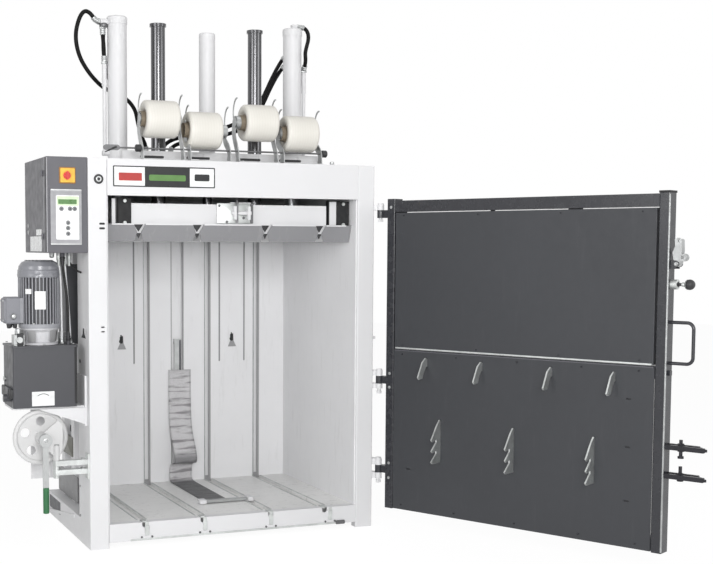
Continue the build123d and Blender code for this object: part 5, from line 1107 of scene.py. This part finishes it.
# %% Strap rolls
core_card = moulded("core_card", (0.20, 0.165, 0.12), 0.7)
reel_spots = {"reel_outer_left": ("reel_a", -335, 1890), "reel_inner_left": ("reel_b", -135, 1847),
              "reel_inner_right": ("reel_c", 135, 1890), "reel_outer_right": ("reel_d", 335, 1847)}
roll_half, roll_radius, shoulder_round, core_radius = 78.0, 82.5, 15.0, 31.0
shoulder = [(roll_half - shoulder_round + shoulder_round * np.sin(turn),
             roll_radius - shoulder_round + shoulder_round * np.cos(turn)) for turn in
            np.radians(np.linspace(0, 90, 7))]
half_profile = [(0.0, roll_radius + 0.4), (30.0, roll_radius + 0.3), *shoulder, (76.0, 52.0), (70.0, 42.0),
                (62.0, 33.5)]
roll_profile = [(-depth, radius) for depth, radius in half_profile[:0:-1]] + half_profile
roll_profile += [(60.0, core_radius), (-60.0, core_radius)]
sleeve_profile = [(58, 37), (70, 37), (72, 33), (91, 33), (91, 30.6), (58, 30.6)]
for name, (body, x, z) in reel_spots.items():
    spot = (x, 95, z)
    finish = wound_strap("strap_" + name.removeprefix("reel_"), spot)
    roll = make_piece(name + "_roll", [hoop(spot, to_right, roll_profile, 64)], finish, body, "strap_roll")
    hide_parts(name)
    core = [hoop(spot, (side, 0, 0), sleeve_profile, 36) for side in (-1, 1)]
    make_piece(name + "_core", core, core_card, body, "strap_roll")
print(len(reel_spots), "strap rolls")

# %% [markdown]
# Straps leave the reels through brush-lined slots behind the feed rail, and a release rod with round knobs
# runs in front of them, with a small blade at its left end. The brush liners are dark bars with rounded
# edges; the knobs are turned.

# %% Slot liners and knobs
liners = [slab((x, 189.8, 1731), to_front, (112, 11, 4), (-0.5, 1, 2), (2, 3))
          for x in (-342, -122, 128, 335)]
make_piece("slot_liners", liners, black_plastic)
knob_profile = [(-13, 13), (-10, 16.4), (10, 16.4), (13, 13), (13, 4.2), (-13, 4.2)]
knobs = [hoop((x, 50, 1757), to_right, knob_profile, 28) for x in (-446, 446)]
make_piece("release_knobs", knobs, black_plastic)
blade_shape = ((-27, -12), (-24, -15), (28, 7), (28, 13), (20, 13))
rod_blade = cut_sheet((-572, 44, 1749), to_front, blade_shape, (0, 3))
make_piece("release_blade", [rod_blade], pit_dark, slot_name="zinc")
print("slot liners, knobs and blade placed")

# %% [markdown]
# The door's free edge and its flap carry small things: screws along the rails, flush discs over the hinge
# bolts, nuts and steel bars on the lock forks, a rubber stop near the top hinge, the bolt on which the latch
# turns, and the rings of its plunger. Door pieces are placed by the door's own directions and ride on the
# door, the flap or the plunger. With the door closed its inner face lies 2 mm from the posts, so nothing
# that stands proud may face them.

# %% Door details
frame_centre = -28.5
plunger_height = 1181
screw_columns = (94, 385, 695, 1000, 1252)
flap_columns = (94, 490, 890, 1252)
stop = turned(on_door((0.5, -28, 1330)), -along, [(-1, 11), (6, 11), (9, 9), (10, 5)], 20)
make_piece("door_stop", [stop], black_plastic, "door")
fork_nuts = together([bolt(on_door((1422, frame_centre, z)), (0, 0, side), 9)
                      for z, side in ((541.5, 1), (401.5, -1))])
make_piece("fork_nuts", fork_nuts, fork_steel, "door", "zinc")
tine_bars = []
for u, w, length in ((1446, -17.2, 160), (1427, -57.2, 126)):
    full, chamfered = rounded(length, 19, 3), rounded(length - 2, 17, 2)
    tine_bars += [stacked(on_door((u, w, z)), inward, [chamfered, full, full, chamfered], [0, 1, 15.5, 16.5])
                  for z in (530.5, 413.5)]
make_piece("fork_tine_bars", tine_bars, fork_steel, "door", "steel")
panel_screws = many(cap_screw, [on_door((u, 3, z)) for u in screw_columns for z in (120, 830)], inward, 4)
make_piece("door_panel_screws", panel_screws, glossy_dark, "door")
hinge_bolts = [turned(on_door((22, 4, z)), inward, [(-0.5, 7), (0.7, 7), (1.2, 5)], 20)
               for z in (240, 310, 670, 735, 1512)]
make_piece("door_hinge_bolts", hinge_bolts, zinc, "door")
flap_screws = many(cap_screw, [on_door((u, 3, z)) for u in flap_columns for z in (872, 1472)], inward, 3.4)
make_piece("flap_screws", flap_screws, glossy_dark, "flap")
pivot_bolt = bolt(on_door((1390, -8.5, 1262)), inward, 8) + bolt(on_door((1390, -48.6, 1262)), -inward, 8)
make_piece("latch_pivot_bolt", pivot_bolt, zinc, "door")
for name, u, profile, count, finish, body in (
        ("plunger_ball_ring", 1440, [(-14, 15.6), (-14, 17.4), (-9, 20.4), (-9, 18.8)], 28, zinc, "plunger"),
        ("plunger_collar_sleeve", 1378, [(-13.5, 12), (-13.5, 20), (14, 20), (15.5, 18), (15.5, 12)], 28,
         pale_zinc, "door"),
        ("plunger_rod_sleeve", 1406, [(3.5, 6.2), (3.5, 9), (16, 9), (16, 6.2)], 24, pale_zinc, "plunger")):
    make_piece(name, [hoop(on_door((u, frame_centre, plunger_height)), along, profile, count)], finish, body)
print("door details placed")

# %% [markdown]
# The lock is a nut on a swinging arm, turned by a hand wheel with a ratchet lever. Screws fix its lugs, a nut
# holds the wheel on its spindle, a boss seats the lever, and a cap closes the swing pin.

# %% Lock details
lug_bolts = many(bolt, [(-712, y, z) for y in (22, 38) for z in (401.2, 361.2)], upright, 6)
make_piece("lock_lug_bolts", lug_bolts, zinc)
pin_cap = turned((-826, 30, 468), upright, [(-0.5, 13), (3, 13), (5, 10), (6, 4)], 24)
make_piece("lock_pin_cap", [pin_cap], zinc, "lock_arm")
make_piece("wheel_nut", bolt((-881, -24.3, 498), to_front, 9), zinc, "wheel")
hub_boss = hoop((-881, -4, 498), to_front, [(0, 14), (0, 27), (9, 27), (13, 24), (15, 16)], 40)
make_piece("ratchet_boss", [hub_boss], pale_zinc, "lever", "steel")
print("lock details placed")

# %% [markdown]
# Behind the lock, sheets are screwed to the side wall's ribs and to the base rail: a guard plate and a brace
# along the rail. Three more are painted shade: a dark one in the slot where the bale's rope passes, a grey
# foot panel and a darker recess. The post's side has a keyhole in dark painted shade and a dark dot. All are
# thin, each on the surface that carries it.

# %% Side plates
post_side, wall_side = -685, -630
guard_grey = powder_coat("guard_grey", (0.13, 0.13, 0.11), 0.5, 0.08)
# Painted shade: a dark sheet in the rope's slot.
rope_slot_shade = slab((-600, 690, 436), to_left, (250, 32, 4), (-0.4, 1.2))
make_piece("side_rope_slot_shade", [rope_slot_shade], pit_dark, slot_name="black_plastic")
# Painted shade: the keyhole as a dark sheet; the dot beside it is dark too.
post_keyhole_shade = ((-40, -20), (40, -20), (15, -2), (9, 22), (-9, 22), (-15, -2))
post_keyhole_shade_and_dot = [cut_sheet((post_side, 99, 946), to_left, post_keyhole_shade, (-0.4, 0.7)),
              turned((post_side, 169, 818), to_left, [(-0.4, 9), (1.2, 9), (2.0, 7)], 18)]
make_piece("post_side_keyhole_shade_and_dot", post_keyhole_shade_and_dot, pit_dark, slot_name="black_plastic")
guard = slab((wall_side, 664, 368), to_left, (214, 96, 5), (-0.4, 3, 4), (4, 4))
make_piece("side_guard", [guard], guard_grey, slot_name="dark_paint")
# Painted shade: a grey foot panel.
foot_panel_shade = slab((wall_side, 668, 176), to_left, (400, 124, 4), (-0.4, 2, 3), (4, 3))
make_piece("side_foot_panel_shade", [foot_panel_shade], shade_grey, slot_name="frame_paint")
# Painted shade: a darker recess on the base rail.
foot_shade = slab((post_side, 718, 66), to_left, (236, 60, 4), (-0.4, 0.8))
make_piece("side_foot_shade", [foot_shade], duct_grey, slot_name="frame_paint")
brace = cut_sheet((post_side, 582, 60), to_left, ((285, 26), (285, 40), (-270, -38), (-270, -52)), (-0.5, 6))
make_piece("side_brace", [brace], frame_paint, slot_name="frame_paint")
print("side plates placed")

# %% [markdown]
# The platen's front edge is folded forward and cut open where each strap passes. Every stretch of it leans
# back towards its foot, so it looks down. Its grey, darker than the beam above, is partly worn steel and
# partly painted shade. It is a thin sheet with slanted ends: an outline in the sheet's own plane, given a
# thickness. Dark pads of painted shadow fill the grooves behind.

# %% Platen lip
strap_lines = (-438.0, -165.0, 165.0, 438.0)
lip_end, lip_top, lip_foot, lip_lean = 593.0, 1427.0, 1351.0, 24.0
lean = np.array([0.0, -lip_lean, lip_top - lip_foot])
lip_height = np.linalg.norm(lean)
lean_up = lean / lip_height
lip_out = np.array([0.0, -lean_up[2], lean_up[1]])
lip_centre = (0.0, 71.5, (lip_top + lip_foot) / 2)
cut_back = ((27, lip_height / 2), (9, 2), (20, -lip_height / 2))
lip_edges = (-lip_end, *strap_lines, lip_end)
stretches = list(zip(lip_edges[:-1], lip_edges[1:]))
lip_skins = []
for first, last in stretches:
    left_side = [(first + (first > -lip_end) * back, height) for back, height in cut_back]
    right_side = [(last - (last < lip_end) * back, height) for back, height in cut_back[::-1]]
    lip_skins.append(cut_sheet(lip_centre, lip_out, left_side + right_side, (-1.6, 1.6), lean_up))
# The lip's dark grey is partly worn steel and partly painted shade.
lip_wear_and_shade_paint = powder_coat("lip_wear_and_shade_paint", (0.235, 0.235, 0.245), 0.55, rub=0.5, rub_colour=(0.33, 0.33, 0.33))
make_piece("platen_lip", lip_skins, lip_wear_and_shade_paint, "platen", "frame_paint")
ledges = [slab(((first + last) / 2, 69.0, 1428.4), upright, (last - first - 54, 30, 1.5), (-6.0, 0.0))
          for first, last in stretches]
make_piece("platen_ledge", ledges, frame_paint, "platen", "frame_paint")
# Painted shadow: dark pads in the grooves behind the lip.
shadow_pad_shapes = {1408: ((-22, 17), (0, -15), (22, 17)), 1375: ((-13, 12), (0, -12), (13, 12))}
groove_shadow_pads = [cut_sheet((x, 83.9, z), to_front, shape, (-0.4, 2.2)) for x in strap_lines
               for z, shape in shadow_pad_shapes.items()]
make_piece("groove_shadow_pads", groove_shadow_pads, black_plastic, "platen")
print(len(lip_skins), "sheets on the platen's lip")

# %% [markdown]
# Guide blocks of dark plastic run on the posts, each held by a round socket screw at its top and foot.
# Between them a clevis plate and a hanger carry the platen's lock, bare zinc against the white beam.

# %% Guide blocks and clevis
platen_front = 84
block_spots = (-502.0, 559.0)
blocks = [slab((x, platen_front, 1480), to_front, (62, 122, 4), (-0.5, 5, 7), (4, 3)) for x in block_spots]
make_piece("guide_block_faces", blocks, block_plastic, "platen", "black_plastic")
side_strips = [slab((x, platen_front, 1484), to_front, (width, 108, 2), (-0.5, 3.5))
               for x, width in ((-551, 16), (508, 34))]
make_piece("guide_side_strips", side_strips, frame_paint, "platen", "frame_paint")
block_screws = many(cap_screw, [(x, 77.2, z) for x in block_spots for z in (1432, 1528)], to_front, 8)
make_piece("guide_block_bolts", block_screws, pale_zinc, "platen")
clevis_cover = slab((17, 76.2, 1478), to_front, (176, 92, 4), (-0.5, 1.2, 1.8), (2, 3))
make_piece("clevis_cover", [clevis_cover], pale_zinc, "platen")
clevis_spots = [(x, 74.6, z) for x, z in ((-24, 1440), (57, 1458), (-60, 1512), (96, 1512))]
hanger = [turned((19, 58, 1436), upright, [(0, 6), (104, 6), (106, 5)], 18),
          slab((96, 74.5, 1478), to_front, (14, 88, 2), (-0.4, 2))]
make_piece("clevis_bolts", many(bolt, clevis_spots, to_front, 6) + hanger, dark_zinc, "platen")
print("guide blocks and clevis placed")

# %% [markdown]
# Inside the chamber, straps run in channels. A bright rail lines the left side of each channel, and a wider
# grey strip of painted shade the right side; two narrow ones stand near the middle. Covers painted grey as
# the
# shade inside close the slots and the channels' feet from behind, and each keyhole is drawn in painted shade:
# a dark back, a grey outline and a dark slit. On the sill, pale clips hold the strap ends, and its foot has a
# thin strip with a small latch at the right end. The belt's bar ends in two blocks.

# %% Chamber details
def all_alike(spots, out, size, depths, rim=None):
    """The same slab at each spot."""
    return [slab(spot, out, size, depths, rim) for spot in spots]


wall_middle, wall_height = 752, 1290
wall_rails = all_alike([(x - 15, 889, wall_middle) for x in strap_lines], to_front, (5, wall_height, 1.5),
                       (0, 3.4), (1, 1.2))
make_piece("wall_strap_rails", wall_rails, zinc)
# Painted shade: grey strips on the shaded side of each channel and near the middle.
wall_painted_shades = [stacked((x, 890.5, wall_middle), to_front,
                       [rounded(width, wall_height, 1.5), rounded(width, wall_height, 1.2)], (-0.3, 3.4))
               for x, width in ((-424, 13), (-151, 13), (179, 18), (452, 18), (-33, 5), (31, 9))]
make_piece("wall_channel_shade_strips", wall_painted_shades, shade_grey, slot_name="frame_paint")
floor_rails = all_alike([(x + side * 22, 462, 107) for x in strap_lines for side in (-1, 1)], upright,
                        (7, 832, 1.5), (-0.3, 2.2), (2, 1.2))
make_piece("floor_strap_rails", floor_rails, pale_zinc)
# The covers are painted grey as the shade inside the slots.
slot_shade_covers = all_alike([(x, 892, 1073) for x in (-370, -232, 232, 370)], to_back, (26, 720, 2),
                        (-0.3, 6, 7), (1, 1))
make_piece("slot_shade_covers", slot_shade_covers, shade_grey)
# Painted shade: grey plates behind the channels' feet.
channel_foot_shades = all_alike([(x, 898, 104) for x in strap_lines], to_back, (46, 40, 2), (-6, 1))
make_piece("channel_foot_shades", channel_foot_shades, shade_grey)
# Painted shade: each keyhole is a dark back, a grey outline and a dark slit.
keyhole_shade_backs = all_alike([(x, 892, 853) for x in (-300, 300)], to_back, (50, 50, 6), (-0.3, 4))
make_piece("keyhole_shade_backs", keyhole_shade_backs, pit_dark)
keyhole = ((-23, -34), (23, -34), (9, -2), (7, 36), (-7, 36), (-9, -2))
keyhole_shade_plates = [cut_sheet((x, 887, 838), to_front, keyhole, (-0.3, 1.2)) for x in (-297, 302)]
make_piece("keyhole_shade_plates", keyhole_shade_plates, shade_grey, slot_name="frame_paint")
keyhole_shade_slits = all_alike([(x, 886.4, 853) for x in (-299, 300)], to_front, (17, 38, 7), (-0.3, 0.8))
make_piece("keyhole_shade_slits", keyhole_shade_slits, pit_dark, slot_name="black_plastic")
sill_face = 0.2
sill_spots = (-429.0, -156.0, 166.0, 466.0)
clips = all_alike([(x, sill_face, 70) for x in sill_spots], to_front, (20, 46, 4), (-0.3, 4, 5.5), (3, 3))
clips += all_alike([(x, sill_face, 98) for x in sill_spots], to_front, (17, 18, 1), (-0.3, 1.6))
clips += all_alike([(x, 22, 107) for x in strap_lines], upright, (26, 42, 5), (-0.3, 3, 4.2), (3, 4))
make_piece("sill_clips", clips, pale_zinc)
clip_spots = [(x + side * 24, sill_face, 40) for x in sill_spots for side in (-1, 1)]
make_piece("sill_clip_screws", many(cap_screw, clip_spots, to_front, 4.5), dark_zinc)
tongue_shade = slab((13, 881.5, wall_middle), to_front, (9, 186, 2), (-0.3, 1.5))
make_piece("tongue_shade", [tongue_shade], tank_paint, slot_name="zinc")
bar_blocks = [slab((x, 286, 110), upright, (width, depth, 4), (-0.3, 16, 18), (4, 3))
              for x, width, depth in ((-72, 34, 46), (168, 26, 60))]
make_piece("belt_bar_blocks", bar_blocks, frame_paint, slot_name="zinc")
sill_strip = slab((20, sill_face, 30), to_front, (1050, 9, 2), (-0.3, 2, 3), (2, 2))
make_piece("sill_strip", [sill_strip], pale_zinc)
sill_latch = slab((518, 0, 32), to_front, (46, 18, 4), (-0.3, 6, 8), (4, 3))
make_piece("sill_latch", [sill_latch], dark_zinc)
print("chamber details placed")

# %% [markdown]
# Hooks on the door's inner face catch the straps while a bale is tied: four single blades in a row and three
# saw-toothed catches below. They are flame-cut plate, stood on edge, so each is an outline in the plane
# square to the door, given a thickness along it, and galvanised.

# %% Strap hooks and catches
blade_thickness = 7.0
single_shape = ((2.5, 14), (2.5, 46), (14, 52), (40, 34), (76, -34), (66, -43), (40, -40), (26, -8), (12, 10))
catch_shape = ((2.5, -94), (2.5, 94), (9, 101), (30, 80), (76, 14), (66, 6), (36, 14), (34, 2), (74, -36),
               (64, -44), (36, -36), (34, -50), (76, -86), (64, -95))


def blade(u, z, shape):
    """A plate standing on the door: its outline reaches inwards and up, its thickness runs along the door."""
    spot = on_door((u - blade_thickness / 2, 0, z))
    return cut_sheet(spot, along, np.array(shape) * (-1, 1), (0, blade_thickness))


hook_skins = [blade(u + 22, 768, single_shape) for u in (207, 498, 839, 1126)]
hook_skins += [blade(u + 13, 440, catch_shape) for u in (293, 671, 1050)]
hooks = make_piece("strap_hooks", hook_skins, pale_zinc, "door")
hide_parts("door_hooks")
print(len(hook_skins), "hooks and catches")

# %% [markdown]
# The flap's foot and the lower panel's head are folded edges, and each carries a thin pale bar of painted
# highlight. Small slots in the lower panel and the gap beside the free post are closed from behind by plates
# of painted shade, three dark lugs break the rail over the flap, and the free post has a painted highlight
# along its edge and a dark cap.

# %% Painted highlights on folds, painted shade behind slots
# Painted highlight: a pale bar along the flap's folded foot.
flap_fold_highlight = slab(on_door((680, 3, 858.5)), inward, (1252, 7, 2), (-0.4, 1.6, 2.6), (2, 1.4))
make_piece("flap_fold_highlight", [flap_fold_highlight], pale_zinc, "flap")
# Painted highlight: a lighter bar along the lower panel's folded head.
panel_fold_highlight = slab(on_door((682, 3, 847)), inward, (1262, 4, 1.5), (-0.4, 1.4))
make_piece("panel_fold_highlight", [panel_fold_highlight], cabinet_paint, "door", "dark_paint")
# Painted shade: dark plates behind the slots.
slot_shade_backs = [plate(on_door((u, -3.2, z)), inward, 34, 16, 1.6, 2)
              for u, z in ((135, 294), (1212, 291), (1212, 514), (1212, 712))]
make_piece("panel_slot_shade_backs", slot_shade_backs, hole_shade_dark, "door", "dark_paint")
# Painted shade: a plate behind the gap beside the free post.
gap_shade_back = plate(on_door((1318.5, -14, 474)), inward, 12, 746, 2, 1)
make_piece("panel_gap_shade_back", [gap_shade_back], cabinet_paint, "door", "dark_paint")
hinge_lugs = [slab(on_door((u, -12, 1488.5)), inward, (width, 9, 2), (-0.4, 3))
              for u, width in ((72, 60), (556, 22), (952, 66))]
make_piece("flap_hinge_lugs", hinge_lugs, pit_dark, "door", "black_plastic")
# Painted highlight: pale strips along the free post's edge.
post_corner_highlight = [slab(on_door((u, w, 820)), out, (5, 1440, 2), (-0.4, 0.8, 1.6), (2, 1.4))
               for u, w, out in ((1362.5, 4, inward), (1364, 1, along))]
make_piece("free_post_corner_highlight", post_corner_highlight, zinc, "door")
cap_corners = np.array(((-23, -34), (-23, 34), (23, 34), (23, -34))) @ np.array((along[:2], inward[:2]))
post_cap = cut_sheet(on_door((1342, frame_centre, 1545)), upright, cap_corners, (-0.5, 8.5))
make_piece("free_post_cap", [post_cap], block_plastic, "door", "black_plastic")
print("folds, lugs and slot backs placed")
